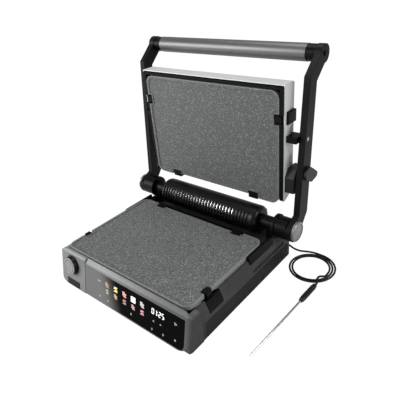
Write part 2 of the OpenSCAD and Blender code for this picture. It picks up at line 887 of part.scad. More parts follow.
module grease_filter() {
    color("#a9adb0")
    translate([0, hinge_y, hinge_h]) rotate([0, 90, 0]) translate([0, 0, rotor_x[0] - 4])
        rotate([0, 0, 180]) rotate_extrude(angle = 75, $fn = 96)
            translate([filter_r, 0]) square([2, rotor_x[1] - rotor_x[0] + 8]);
}

module fan_rotor() {
    color("#3b3d40") {
        for (x = [rotor_x[0], rotor_mid, rotor_x[1] - 2]) {
            difference() {
                rod_x(x, x + 2, hinge_y, hinge_h, rotor_r);
                rod_x(x - 1, x + 3, hinge_y, hinge_h, x == rotor_mid ? rotor_r - 6 : 2);
            }
        }
        for (i = [0 : blade_count - 1]) {
            translate([0, hinge_y, hinge_h]) rotate([i * 360 / blade_count, 0, 0])
                translate([rotor_x[0] + 1, rotor_r - 5, -0.6])
                    cube([rotor_x[1] - rotor_x[0] - 2, 4.4, 1.2]);
        }
        rod_x(rotor_x[0] - 7, rotor_x[0] + 1, hinge_y, hinge_h, 2.5);
        rod_x(rotor_x[1] - 1, rotor_x[1] + 12, hinge_y, hinge_h, 2.5);
    }
}

module fan_motor() {
    color("#7b7f83")
    difference() {
        union() {
            rod_x(rotor_x[1] + 6, hood_half - 14, hinge_y, hinge_h, motor_r);
            block([rotor_x[1] + 14, hinge_y - 8, deck_top], [hood_half - 24, hinge_y + 8, hinge_h]);
            block([rotor_x[0] - 8, hinge_y - 8, deck_top], [rotor_x[0] - 3, hinge_y + 8, hinge_h + 6]);
        }
        rod_x(rotor_x[0] - 9, rotor_x[1] + 14, hinge_y, hinge_h, 2.5 + pin_fit);
    }
}

// ---- Hinge ----

pin_start = barrel_in - barrel_foot + 2;

module hinge_barrels() {
    color("#0f0f10")
    for (s = [0, 1]) {
        mirror([s, 0, 0]) difference() {
            union() {
                rod_x(barrel_in, arm_x - gap, hinge_y, hinge_h, barrel_r);
                rod_x(barrel_in, barrel_in + 5, hinge_y, hinge_h, barrel_r + 2);
                block([barrel_in - barrel_foot, hinge_y - 14, deck_top], [barrel_in + 0.5, hinge_y + 14, hinge_h]);
                rod_x(hood_half + gap, barrel_in + 0.5, hinge_y, hinge_h, 14);
            }
            rod_x(pin_start - 0.5, arm_x + 1, hinge_y, hinge_h, hinge_pin_r + pin_fit);
        }
    }
}

module hinge_pins() {
    color("#c8cacc")
    for (s = [0, 1]) {
        mirror([s, 0, 0]) rod_x(pin_start, arm_out - 0.5, hinge_y, hinge_h, hinge_pin_r);
    }
}

cover_top = 73;

module rear_side_covers() {
    color("#121314")
    for (s = [0, 1]) {
        mirror([s, 0, 0]) difference() {
            block([rim_half - 3.2, 186, 56], [rim_half + 4.5, hinge_y - barrel_r - 3, cover_top]);
            front_extrude(150, 300) polygon([
                [rim_half + 1, cover_top + 1], [rim_half + 6, cover_top + 1],
                [rim_half + 6, rim_h - 8], [rim_half + 3.2, rim_h + 1]
            ]);
            front_extrude(150, 300) polygon([
                [rim_half - 3.2, 50], [rim_half - 3.2, rim_h], [rim_half, rim_h], [base_half - 2.6, 51],
                [base_half - 2.6, 50]
            ]);
        }
    }
}

// ---- Latches: a rocker with a press button on one side of its pin and a tongue on the other ----

module latch_tongue() {
    block([plate_w / 2 - notch_d + 1.5, latch_y - 6, plate_h - 4.6], [rim_half - 4, latch_y + 6, plate_h - 0.6]);
    block([plate_w / 2 - 1, latch_y - 6, 60], [rim_half - 1.5, latch_y + 6, plate_h - 0.6]);
}

module lower_latch() {
    color("#0e0e0e")
    difference() {
        union() {
            latch_tongue();
            front_extrude(latch_span[0] + swing_gap, latch_span[1] - swing_gap) polygon([
                [base_half - 0.9, 44], [base_half - 2.4, 51], [base_half - 8.2, 63],
                [base_half - 13.2, 63], [base_half - 11.5, 52], [base_half - 7.5, 44]
            ]);
        }
        rod_y(latch_span[0] - 7, latch_span[1] + 7, latch_axis[0], latch_axis[1], latch_pin_r + pin_fit);
    }
}

module lower_latch_right() {
    lower_latch();
}

module lower_latch_left() {
    mirror([1, 0, 0]) lower_latch();
}

module lower_latch_pins() {
    color("silver")
    for (s = [0, 1]) {
        mirror([s, 0, 0]) rod_y(latch_span[0] - 4, latch_span[1] + 4, latch_axis[0], latch_axis[1], latch_pin_r);
    }
}

lid_latch_z = lid_plate_h + notch_along;
lid_latch_axis = [163, lid_face_y + 17];

module upper_latch() {
    color("#0e0e0e")
    difference() {
        union() {
            block(
                [plate_w / 2 - notch_d + 1.5, lid_face_y + 0.6, lid_latch_z - 6],
                [lid_half - 4.5, lid_face_y + 4, lid_latch_z + 6]
            );
            block([lid_half - 9.2, lid_face_y + 1, lid_latch_z - 6], [lid_half - 4.5, lid_face_y + 20, lid_latch_z + 6]);
            block([lid_half - 9.2, lid_face_y + 10.6, lid_latch_z - 10], [lid_half + 3.5, lid_back_y - 4.5, lid_latch_z + 12]);
        }
        translate([lid_latch_axis[0], lid_latch_axis[1], lid_latch_z - 30])
            cylinder(h = 60, r = latch_pin_r + pin_fit);
    }
}

module upper_latch_right() {
    upper_latch();
}

module upper_latch_left() {
    mirror([1, 0, 0]) upper_latch();
}

module upper_latch_pins() {
    color("silver")
    for (s = [0, 1]) {
        mirror([s, 0, 0]) translate([lid_latch_axis[0], lid_latch_axis[1], lid_latch_z - 16.5])
            cylinder(h = 32, r = latch_pin_r);
    }
}

// ---- Arms ----

arm_foot = [hinge_y + 28.5, hinge_h + 24];
arm_bend = [pivot_y + 12, 360];

// The unit vector across a line from a to b, on its front side
function across(a, b) = [a[1] - b[1], b[0] - a[0]] / norm(b - a);

handle_at = [handle_y, handle_h];
arm_n = across(arm_foot, arm_bend);
neck_n = across(arm_bend, handle_at);
arm_mitre = (arm_n + neck_n) / (1 + arm_n * neck_n) * arm_top_w / 2;
neck_turn = atan2(handle_at[1] - arm_bend[1], handle_at[0] - arm_bend[0]) + 180;
neck_open = asin(arm_top_w / 2 / arm_end_r);

// Side outline of an arm: a round foot, a leaning shank, a bend and the handle's round end
module arm_outline() {
    polygon(concat(
        arc([hinge_y, hinge_h], barrel_r, 150, 345, 26),
        [arm_foot - arm_n * arm_w / 2, arm_bend - arm_mitre],
        arc(handle_at, arm_end_r, neck_turn + neck_open, neck_turn - neck_open + 360, 30),
        [arm_bend + arm_mitre, arm_foot + arm_n * arm_w / 2]
    ));
}

lever_at = [pivot_y - 2, 192];
lever_pin_r = 5;

module arm() {
    difference() {
        side_extrude(arm_x, arm_out) arm_outline();
        rod_x(arm_x - 1, arm_out + 1, hinge_y, hinge_h, hinge_pin_r + pin_fit);
        rod_x(arm_x - 1, arm_out + 1, pivot_y, pivot_h, pivot_pin_r + pin_fit);
        rod_x(arm_x - 1, arm_out + 1, handle_y, handle_h, 2.6);
    }
}

module arm_right() {
    color("#1f2022")
    difference() {
        arm();
        rod_x(arm_x - 1, arm_out + 1, lever_at[0], lever_at[1], lever_pin_r + pin_fit);
    }
}

module arm_left() {
    color("#1f2022")
    mirror([1, 0, 0]) arm();
}

module arm_cap() {
    difference() {
        union() {
            rod_x(arm_out, cap_out - 1.5, hinge_y, hinge_h, cap_r);
            translate([cap_out - 1.5, hinge_y, hinge_h]) rotate([0, 90, 0]) cylinder(h = 1.5, r1 = cap_r, r2 = cap_r - 1.5);
        }
        rod_x(cap_out - 1, cap_out + 1, hinge_y, hinge_h, cap_r - 4);
    }
}

module arm_cap_right() {
    color("#7d8083")
    arm_cap();
}

module arm_cap_left() {
    color("#7d8083")
    mirror([1, 0, 0]) arm_cap();
}

module handle_tube() {
    color("#9a9da0")
    difference() {
        rod_x(-handle_half, handle_half, handle_y, handle_h, handle_r);
        rod_x(-handle_half - 1, handle_half + 1, handle_y, handle_h, handle_r - handle_wall);
    }
}

module handle_collars() {
    color("#151617")
    for (s = [0, 1]) {
        mirror([s, 0, 0]) difference() {
            union() {
                rod_x(handle_half, arm_x, handle_y, handle_h, handle_r - 0.5);
                rod_x(handle_half - 14, handle_half + 1, handle_y, handle_h, handle_r - handle_wall - 0.1);
            }
            rod_x(handle_half - 15, arm_x + 1, handle_y, handle_h, 2.2);
        }
    }
}

module handle_screws() {
    color("silver")
    for (s = [0, 1]) {
        mirror([s, 0, 0]) {
            rod_x(handle_half - 10, arm_out, handle_y, handle_h, 2.15);
            rod_x(arm_out, arm_out + 2, handle_y, handle_h, 4.5);
        }
    }
}

// ---- Lid ----

lid_front = lid_face_y + 3.3;

module cover_profile(inset) {
    polygon([
        [lid_front - (inset > 0 ? 1 : 0), lid_bottom + inset], [lid_front + 3.4, lid_bottom + inset],
        [lid_back_y - inset, lid_bottom + lid_rise + inset], [lid_back_y - inset, lid_top - 9 - inset / 2],
        [lid_back_y - 9 + inset / 2, lid_top - inset], [lid_front - (inset > 0 ? 1 : 0), lid_top - inset]
    ]);
}

module cover_body(inset) {
    intersection() {
        side_extrude(-lid_half + inset, lid_half - inset) cover_profile(inset);
        linear_extrude(height = 400) translate([0, lid_back_y - inset - 50])
            round_rect(2 * (lid_half - inset), 100, 9 - inset / 2);
    }
}

module vent_slots(z0, count) {
    for (i = [0 : count - 1]) {
        translate([lid_half, lid_back_y - 16, z0 + i * 5.4]) rotate([34, 0, 0])
            cube([10, vent_len, vent_h], center = true);
    }
}

module lid_cover() {
    color("#d8dadc")
    difference() {
        cover_body(0);
        cover_body(cover_t);
        block([-well_half, lid_front - 1, lid_bottom - 2], [well_half, lid_face_y + 18.3, lid_bottom + 10]);
        for (s = [0, 1]) {
            mirror([s, 0, 0]) {
                vent_slots(260, 4);
                vent_slots(200, 5);
                block(
                    [lid_half - 5, lid_face_y + 9.6, lid_latch_z - 11],
                    [lid_half + 5, lid_back_y - 2, lid_latch_z + 13]
                );
            }
        }
    }
}

rail_y = [lid_face_y + plate_t + 2, lid_face_y + 17.8];

module lid_frame() {
    color("#0d0d0e")
    difference() {
        union() {
            front_extrude(lid_face_y + 1.4, lid_face_y + 4.2)
                translate([0, (lid_plate_h + 9 + lid_top - 3.5) / 2])
                    square([2 * lid_half - 4, lid_top - 3.5 - lid_plate_h - 9], center = true);
            block([-plate_w / 2 - 3, lid_face_y + 4, lid_bottom + 10], [plate_w / 2 + 3, lid_face_y + 22, lid_top - 3.5]);
            block([-plate_w / 2 - 3, rail_y[0], lid_bottom + 7.5], [plate_w / 2 + 3, rail_y[1], lid_bottom + 10]);
            block([-well_half + 0.4, rail_y[0], lid_bottom + 3], [well_half - 0.4, rail_y[1], lid_bottom + 10]);
            for (s = [0, 1]) {
                mirror([s, 0, 0]) for (z = [lid_latch_z - 17, lid_latch_z + 13]) {
                    block([plate_w / 2 + 2, lid_face_y + 10, z], [lid_half - cover_t, lid_face_y + 22, z + 3]);
                }
            }
        }
        difference() {
            block(
                [-well_half, lid_face_y - 5, lid_plate_h - 10],
                [well_half, lid_face_y + 30, lid_plate_h + plate_d + 1.5]
            );
            block([-200, rail_y[0], lid_bottom + 3], [200, rail_y[1], lid_bottom + 10]);
        }
        for (s = [0, 1]) {
            mirror([s, 0, 0]) {
                block(
                    [plate_w / 2 - 5, lid_face_y - 5, lid_latch_z - 7.5],
                    [lid_half - 1.9, lid_face_y + 30, lid_latch_z + 7.5]
                );
                block(
                    [lid_half - 10, lid_face_y + 9, lid_latch_z - 12],
                    [lid_half + 1, lid_face_y + 30, lid_latch_z + 12.5]
                );
                translate([lid_latch_axis[0], lid_latch_axis[1], lid_latch_z - 30])
                    cylinder(h = 60, r = latch_pin_r + pin_fit);
            }
        }
    }
}

module lid_pivot_blocks() {
    color("#121314")
    for (s = [0, 1]) {
        mirror([s, 0, 0]) difference() {
            block([lid_half, lid_front + 6, pivot_h - 6], [arm_x - gap, pivot_y + 6.5, pivot_h + 6]);
            rod_x(lid_half - 1, arm_x + 1, pivot_y, pivot_h, pivot_pin_r + pin_fit);
        }
    }
}

module lid_pivot_pins() {
    color("silver")
    for (s = [0, 1]) {
        mirror([s, 0, 0]) rod_x(lid_half + 2, arm_out - 0.5, pivot_y, pivot_h, pivot_pin_r);
    }
}

// Dark bracket low on the lid's right side
module lock_bracket() {
    color("#2c2e30")
    side_extrude(lid_half, arm_x - 3) polygon([
        [lid_front + 3, lid_bottom + 20], [lid_front + 16, lid_bottom + 17],
        [lid_back_y - 1, lid_bottom + 30], [lid_back_y + 3, lid_bottom + 52],
        [lid_back_y + 1, lid_bottom + 66], [lid_front + 14, lid_bottom + 66], [lid_front + 3, lid_bottom + 50]
    ]);
}

module lock_lever() {
    color("#2a2c2e")
    union() {
        rod_x(arm_x, arm_out + 1, lever_at[0], lever_at[1], lever_pin_r);
        side_extrude(arm_out + 0.4, cap_out) {
            translate(lever_at) circle(r = 13);
            polygon([
                lever_at + [-2, 13], lever_at + [14, 6], lever_at + [33, -9],
                lever_at + [32, -17], lever_at + [10, -21], lever_at + [-6, -11]
            ]);
        }
    }
}

// ---- Probe, drawn from the base's front like the rest but with Z = 0 on the table ----

jack = [150, 10];
plug_y = base_d + 1;

module probe_jack() {
    color("#0f0f0f")
    difference() {
        rod_y(base_d - 14, base_d + 0.5, jack[0], jack[1], plug_r + 1.2);
        rod_y(base_d - 9, base_d + 1, jack[0], jack[1], 1.6);
    }
}

module probe_plug() {
    color("#141414")
    union() {
        rod_y(plug_y, plug_y + plug_len, jack[0], jack[1], plug_r);
        rod_x(jack[0], jack[0] + plug_side, plug_y + 7, jack[1], 3.4);
        rod_y(base_d - 7, plug_y + 1, jack[0], jack[1], 1.5);
    }
}

cable_r = cable_d / 2;
coil_at = [231, 309];
coil_r = 46;
coil_pitch = 5.2;
coil_turns = 2.25;
coil_steps = 24;
lead_points = [
    [157.5, 338, 14], [162, 338, 14], [168, 338.5, 11.4], [174, 340, 7.4], [181, 342.5, 4.2],
    [189, 345.8, 2.4], [198, 350, 2], [208, 353.4, 2], [218, 355, 2], [227, 355, 2]
];
tail_points = [
    [265.3, 305, 2], [265.3, 301, 2], [263.6, 297.1, 2.3], [261.5, 293.8, 3.5], [259.6, 290.2, 5.2],
    [258.2, 286, 6.6], [257.8, 281.4, 7.1], [258.3, 276.6, 7.1], [259.8, 272.4, 6.4], [262.24, 268, 5.3],
    [262, 262, 5.3]
];

function unit(v) = v / norm(v);

// Direction of a route at point i
function along(p, i) = unit(p[min(i + 1, len(p) - 1)] - p[max(i - 1, 0)]);

// Ring of points round point i of a route
function ring(p, i, r, sides) =
    let (t = along(p, i), s = unit(cross(t, [0, 0, 1])), u = cross(s, t))
    [for (k = [0 : sides - 1]) p[i] + r * (cos(360 * (k + 0.5) / sides) * s + sin(360 * (k + 0.5) / sides) * u)];

// One closed tube swept along a route
module tube(p, r, sides) {
    n = len(p);
    rings = [for (i = [0 : n - 1]) each ring(p, i, r, sides)];
    walls = [
        for (i = [0 : n - 2]) for (k = [0 : sides - 1])
            let (a = i * sides + k, b = i * sides + (k + 1) % sides)
            each [[a, b, b + sides], [a, b + sides, a + sides]]
    ];
    first = [for (k = [sides - 2 : -1 : 1]) [0, k + 1, k]];
    last = [for (k = [1 : sides - 2]) [(n - 1) * sides, (n - 1) * sides + k, (n - 1) * sides + k + 1]];
    polyhedron(points = rings, faces = concat(walls, first, last), convexity = 6);
}

// Points of the flat coil, which winds clockwise and inwards from its far side, with a
// short straight run at each end
coil_end_x = coil_at[0] + coil_r - coil_pitch * coil_turns;
coil_points = [
    [coil_at[0] - cable_d, coil_at[1] + coil_r, cable_r],
    for (i = [0 : coil_turns * coil_steps])
        let (a = 90 - 360 * i / coil_steps, r = coil_r - coil_pitch * i / coil_steps)
        [coil_at[0] + r * cos(a), coil_at[1] + r * sin(a), cable_r],
    [coil_end_x, coil_at[1] - cable_d, cable_r]
];
coil_gap = min([
    for (i = [0 : len(coil_points) - 1]) for (j = [i + coil_steps / 2 : len(coil_points) - 1])
        norm(coil_points[i] - coil_points[j])
]) - cable_d;
echo(least_gap_of_the_coil_to_itself = coil_gap);

module on_table() {
    translate([0, -mid_y, 0]) children();
}

module probe_lead() {
    color("#161616")
    tube(lead_points, cable_r, 8);
}

module probe_coil() {
    color("#161616")
    tube(coil_points, cable_r, 6);
}

module probe_tail() {
    color("#161616")
    tube(tail_points, cable_r, 8);
}

grip_at = [262, 262];
grip_aim = [-8.6, -213.4];
grip_turn = atan2(grip_aim[0], -grip_aim[1]);

module probe_grip() {
    color("#1a1a1a")
    translate([grip_at[0], grip_at[1], grip_r]) rotate([0, 0, grip_turn]) rotate([90, 0, 0]) {
        cylinder(h = grip_len - 4, r = grip_r);
        translate([0, 0, grip_len - 4]) cylinder(h = 4, r1 = grip_r, r2 = grip_r - 1.5);
    }
}

module probe_rod() {
    color("#c9cbcd")
    translate([grip_at[0], grip_at[1], grip_r]) rotate([0, 0, grip_turn]) rotate([90, 0, 0]) {
        translate([0, 0, grip_len]) cylinder(h = rod_len - 10, r = rod_r);
        translate([0, 0, grip_len + rod_len - 10]) cylinder(h = 10, r1 = rod_r, r2 = 0.3);
    }
}

place() base_tray();
place() bottom_feet();
place() bottom_screws();
place() upper_housing();
place() display_glass();
place() control_board();
place() knob_encoder();
place() knob_shaft();
place() control_knob();
place() socket_cover();
place() power_board();
place() lower_plate();
place() lower_heater();
place() lower_reflector();
place() lower_sensor();
place() lower_hooks();
place() drip_tray();
place() mains_inlet();
place() smoke_hood();
place() grease_filter();
place() fan_rotor();
place() fan_motor();
place() hinge_barrels();
place() hinge_pins();
place() rear_side_covers();
place() lower_latch_right();
place() lower_latch_left();
place() lower_latch_pins();
place() arm_right();
place() arm_left();
place() arm_cap_right();
place() arm_cap_left();
place() handle_tube();
place() handle_collars();
place() handle_screws();
place() lid_cover();
place() lid_frame();
place() upper_plate();
place() upper_heater();
place() upper_reflector();
place() upper_sensor();
place() upper_hooks();
place() lid_pivot_blocks();
place() lid_pivot_pins();
place() upper_latch_right();
place() upper_latch_left();
place() upper_latch_pins();
place() lock_bracket();
place() lock_lever();
place() probe_jack();
place() probe_plug();
on_table() probe_lead();
on_table() probe_coil();
on_table() probe_tail();
on_table() probe_grip();
on_table() probe_rod();
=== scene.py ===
"""Looks of an electric indoor grill with a floating lid, laid out as a Blender add-on.

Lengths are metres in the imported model's frame: X to the right, Y to the back, Z up from the table.
Lists of places are in millimetres, measured from the middle of the base's front edge.
"""

import json
import math

import bpy
import numpy as np
from bpy.props import FloatProperty, FloatVectorProperty, PointerProperty
from bpy.types import Operator, Panel, PropertyGroup
from mathutils import Matrix, Vector


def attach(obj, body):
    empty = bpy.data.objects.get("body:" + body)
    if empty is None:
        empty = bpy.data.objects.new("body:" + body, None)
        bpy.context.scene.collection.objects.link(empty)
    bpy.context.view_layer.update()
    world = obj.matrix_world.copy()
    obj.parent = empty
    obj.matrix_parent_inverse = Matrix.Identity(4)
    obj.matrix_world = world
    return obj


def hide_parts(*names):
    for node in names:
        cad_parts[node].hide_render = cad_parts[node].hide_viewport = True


bl_info = {
    "name": "Indoor grill with lid",
    "version": (1, 0, 0),
    "blender": (4, 5, 0),
    "location": "3D View > Sidebar > Grill",
    "description": "Finishes the pieces of an electric indoor grill",
    "category": "Object",
}

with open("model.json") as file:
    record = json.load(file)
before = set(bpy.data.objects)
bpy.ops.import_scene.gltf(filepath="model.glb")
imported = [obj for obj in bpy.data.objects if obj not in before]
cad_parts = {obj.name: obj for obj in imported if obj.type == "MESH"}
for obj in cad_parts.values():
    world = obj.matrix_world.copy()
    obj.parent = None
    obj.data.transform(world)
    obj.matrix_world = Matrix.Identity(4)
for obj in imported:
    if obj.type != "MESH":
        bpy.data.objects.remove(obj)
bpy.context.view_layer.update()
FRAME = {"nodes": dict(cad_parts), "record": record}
NODES = FRAME["nodes"]
SLOT_OF = {part["node"]: part["material_slot"] for part in FRAME["record"]["subparts"]}

MID_Y = 0.195378741  # from the base's front edge back to the frame's origin
FOOT = 0.004  # from the table up to the base's underside
FACE_FRONT = -1.5  # depth of the leaning face at its foot, in millimetres
FACE_TILT = math.radians(13)
FACE_OUT = np.array([0.0, -math.cos(FACE_TILT), math.sin(FACE_TILT)])

PLATE_HALF = (0.1605, 0.11)
PLATE_CORNER = 0.016
LOWER_PLATE_Y = (23.8 + 110) / 1000 - MID_Y
UPPER_PLATE_Z = (126 + 110) / 1000 + FOOT


def over_table(points):
    """Places given in millimetres over the table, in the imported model's frame."""
    return np.asarray(points, float) / 1000 + np.array([0, -MID_Y, 0])


def over_base(points):
    """Places given in millimetres over the base's underside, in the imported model's frame."""
    return np.asarray(points, float) / 1000 + np.array([0, -MID_Y, FOOT])


def on_face(points):
    """Places on the leaning front face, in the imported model's frame.

    Each point is (x, out, up) in millimetres: along the face, out of it and up its slope. With the
    lean a, its depth is FACE_FRONT - out * cos a + up * sin a, and its height is
    out * sin a + up * cos a.
    """
    p = np.asarray(points, float)
    c, s = math.cos(FACE_TILT), math.sin(FACE_TILT)
    depth = FACE_FRONT - p[..., 1] * c + p[..., 2] * s
    height = p[..., 1] * s + p[..., 2] * c
    return over_base(np.stack([p[..., 0], depth, height], axis=-1))


# ---------------------------------------------------------------- sizes and colours


class GrillView(PropertyGroup):
    lens: FloatProperty(
        name="Lens",
        description="Focal length of the picture's camera",
        default=38.44,
        min=10,
        max=200,
    )
    camera: FloatVectorProperty(
        name="Camera",
        description="Place of the picture's camera",
        default=(0.52408, -0.517809, 0.55455),
        unit="LENGTH",
    )
    azimuth: FloatProperty(
        name="Azimuth",
        description="Turn of the camera round the grill",
        default=math.radians(42.24),
        subtype="ANGLE",
    )
    elevation: FloatProperty(
        name="Elevation",
        description="Angle of the camera above the table",
        default=math.radians(29.39),
        subtype="ANGLE",
    )
    roll: FloatProperty(
        name="Roll",
        description="Tilt of the picture",
        default=math.radians(-5.73),
        subtype="ANGLE",
    )
    soft_light: FloatProperty(
        name="Soft light",
        description="Strength of the light all round",
        default=0.42,
        min=0,
        max=3,
    )
    key_light: FloatProperty(
        name="Key light",
        description="Power of the large lamp in watts",
        default=24,
        min=0,
        max=200,
    )


class GrillSizes(PropertyGroup):
    cable: FloatProperty(
        name="Cable",
        description="Diameter of the probe's cable",
        default=0.004,
        min=0.002,
        max=0.0045,
        unit="LENGTH",
    )
    grain: FloatProperty(
        name="Grain",
        description="Size of the moulded grain",
        default=0.0006,
        min=0.0001,
        max=0.003,
        unit="LENGTH",
    )
    speckle: FloatProperty(
        name="Speckle",
        description="Size of the plates' speckles",
        default=0.0022,
        min=0.0003,
        max=0.006,
        unit="LENGTH",
    )
    edge: FloatProperty(
        name="Edge",
        description="Rounding of the moulded edges",
        default=0.0008,
        min=0,
        max=0.003,
        unit="LENGTH",
    )
    mark_height: FloatProperty(
        name="Mark height",
        description="Height of the lit marks over the face, in millimetres",
        default=0.35,
        min=0.31,
        max=0.6,
    )


class GrillColours(PropertyGroup):
    housing: FloatVectorProperty(
        name="Housing",
        description="Gunmetal of the upper housing",
        default=(0.2, 0.202, 0.205),
        subtype="COLOR",
    )
    cover: FloatVectorProperty(
        name="Lid cover",
        description="Silver of the lid",
        default=(0.72, 0.725, 0.735),
        subtype="COLOR",
    )
    handle: FloatVectorProperty(
        name="Handle",
        description="Satin silver of the handle tube",
        default=(0.13, 0.131, 0.133),
        subtype="COLOR",
    )
    plate: FloatVectorProperty(
        name="Plates",
        description="Ground colour of the granite coating",
        default=(0.085, 0.089, 0.089),
        subtype="COLOR",
    )
    black: FloatVectorProperty(
        name="Black plastic",
        description="Black of the covers and the arms",
        default=(0.005, 0.005, 0.0055),
        subtype="COLOR",
    )
    dark: FloatVectorProperty(
        name="Dark plastic",
        description="Dark grey of the lower wall",
        default=(0.009, 0.0093, 0.0096),
        subtype="COLOR",
    )


def view_set():
    return bpy.context.scene.grill_view


def sizes():
    return bpy.context.scene.grill_sizes


def colours():
    return bpy.context.scene.grill_colours


# ---------------------------------------------------------------- surfaces


def put_mesh(name, verts, faces, body, material, smooth=True, uv=None):
    """A mesh object from arrays, where verts is n by 3 and faces lists corner numbers."""
    mesh = bpy.data.meshes.new(name)
    corners = [list(map(int, face)) for face in faces]
    mesh.from_pydata(np.asarray(verts, float).tolist(), [], corners)
    if uv is not None:
        layer = mesh.uv_layers.new(name="UVMap")
        loops = np.zeros(len(mesh.loops), dtype=np.int32)
        mesh.loops.foreach_get("vertex_index", loops)
        layer.data.foreach_set("uv", np.asarray(uv, float)[loops].ravel())
    mesh.polygons.foreach_set("use_smooth", np.full(len(mesh.polygons), smooth))
    mesh.materials.append(material)
    mesh.update()
    obj = bpy.data.objects.new(name, mesh)
    bpy.context.scene.collection.objects.link(obj)
    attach(obj, body)
    return obj


def tube_faces(rings, sides):
    """Quads between the neighbouring rings of a tube, wrapping round it."""
    r, k = np.meshgrid(np.arange(rings - 1), np.arange(sides), indexing="ij")
    beside = (k + 1) % sides
    corners = (r * sides + k, r * sides + beside, (r + 1) * sides + beside, (r + 1) * sides + k)
    return np.stack(corners, axis=-1).reshape(-1, 4)


def end_rings(rings, sides):
    """Corner numbers of a tube's first and last ring."""
    return list(range(sides)), [(rings - 1) * sides + k for k in range(sides)]


def lathe(profile, origin, axis, sides):
    """Points and faces of a profile turned about an axis through origin.

    Each profile row is (a, r), the distance along the axis and the radius. The point at turn t is
    origin + a * axis + r * (cos t * u + sin t * v), with u and v square to the axis.
    """
    axis = np.asarray(axis, float) / np.linalg.norm(axis)
    u = np.cross([0.0, 0.0, 1.0], axis)
    u /= np.linalg.norm(u)
    v = np.cross(axis, u)
    p = np.asarray(profile, float)
    t = np.linspace(0, 2 * np.pi, sides, endpoint=False)
    ring = np.cos(t)[:, None] * u + np.sin(t)[:, None] * v
    pts = origin + p[:, 0, None, None] * axis + p[:, 1, None, None] * ring[None]
    return pts.reshape(-1, 3), tube_faces(len(p), sides)


def rounded(profile, radius, steps=4):
    """A profile whose inner corners are replaced by small arcs.

    At each corner B the arc is (1-t)^2 A + 2t(1-t) B + t^2 C, where A and C lie radius before and
    after B, or less than half a side away where a side is short.
    """
    most = 0.45
    p = np.asarray(profile, float)
    out = [p[0]]
    for a, b, c in zip(p[:-2], p[1:-1], p[2:]):
        la, lc = np.linalg.norm(a - b), np.linalg.norm(c - b)
        r = min(radius, la * most, lc * most)
        t = np.linspace(0, 1, steps + 1)[:, None]
        start, end = b + (a - b) * r / la, b + (c - b) * r / lc
        out.extend((1 - t) ** 2 * start + 2 * t * (1 - t) * b + t**2 * end)
    out.append(p[-1])
    return np.array(out)


def turned(name, profile, origin, axis, body, material, round_r, sides):
    """A closed turned piece whose profile starts and ends on the axis, with rounded edges."""
    shape = rounded(profile, round_r)
    least_radius = 1e-5
    shape[:, 1] = np.maximum(shape[:, 1], least_radius)
    pts, faces = lathe(shape, np.asarray(origin, float), axis, sides)
    first, last = end_rings(len(shape), sides)
    return put_mesh(name, pts, list(faces) + [first[::-1], last], body, material)


def smooth_route(points, step):
    """A Catmull-Rom curve through the points, sampled so that neighbours lie about step apart.

    Between b and c, with a before and d after them, the point at t is half of
    2b + (c - a) t + (2a - 5b + 4c - d) t^2 + (3b - a - 3c + d) t^3.
    """
    p = np.asarray(points, float)
    q = np.vstack([2 * p[0] - p[1], p, 2 * p[-1] - p[-2]])
    out = []
    for a, b, c, d in zip(q[:-3], q[1:-2], q[2:-1], q[3:]):
        n = max(2, int(np.ceil(np.linalg.norm(c - b) / step)))
        t = np.linspace(0, 1, n, endpoint=False)[:, None]
        square, cube = 2 * a - 5 * b + 4 * c - d, 3 * b - a - 3 * c + d
        out.append(0.5 * (2 * b + (c - a) * t + square * t**2 + cube * t**3))
    out.append(p[-1:])
    return np.vstack(out)


def swept(path, radius, sides=16):
    """Points, faces, UVs and length of a round tube along a path.

    Each ring is path + radius * (cos t * s + sin t * u), where s is level and square to the path,
    and u is square to both.
    """
    p = np.asarray(path, float)
    tangent = np.gradient(p, axis=0)
    tangent /= np.linalg.norm(tangent, axis=1)[:, None]
    s = np.cross(tangent, [0, 0, 1.0])
    s /= np.linalg.norm(s, axis=1)[:, None]
    u = np.cross(s, tangent)
    t = np.linspace(0, 2 * np.pi, sides, endpoint=False)
    ring = np.cos(t)[None, :, None] * s[:, None, :] + np.sin(t)[None, :, None] * u[:, None, :]
    pts = p[:, None, :] + radius * ring
    first, last = end_rings(len(p), sides)
    faces = list(tube_faces(len(p), sides)[:, ::-1]) + [first, last[::-1]]
    length = np.concatenate([[0], np.cumsum(np.linalg.norm(np.diff(p, axis=0), axis=1))])
    uv = np.stack(np.broadcast_arrays(t[None, :] / (2 * np.pi), length[:, None]), axis=-1)
    return pts.reshape(-1, 3), faces, uv.reshape(-1, 2), length[-1]


# ---------------------------------------------------------------- shader maths


def fill(tree, socket, value):
    """Links a Socket to the socket, or sets a number, a vector or a colour, whose alpha is 1."""
    if isinstance(value, Socket):
        tree.links.new(value.link, socket)
    elif isinstance(value, (int, float)):
        socket.default_value = value
    else:
        socket.default_value = (*value, 1.0) if len(value) < len(socket.default_value) else value


def add_node(tree, kind, settings, sockets, out=0):
    """One output of a new node, whose settings are made first and then its sockets filled."""
    node = tree.nodes.new(kind)
    for key, value in settings.items():
        setattr(node, key, value)
    for key, value in sockets.items():
        fill(tree, node.inputs[key], value)
    return Socket(tree, node.outputs[out]) if node.outputs else None


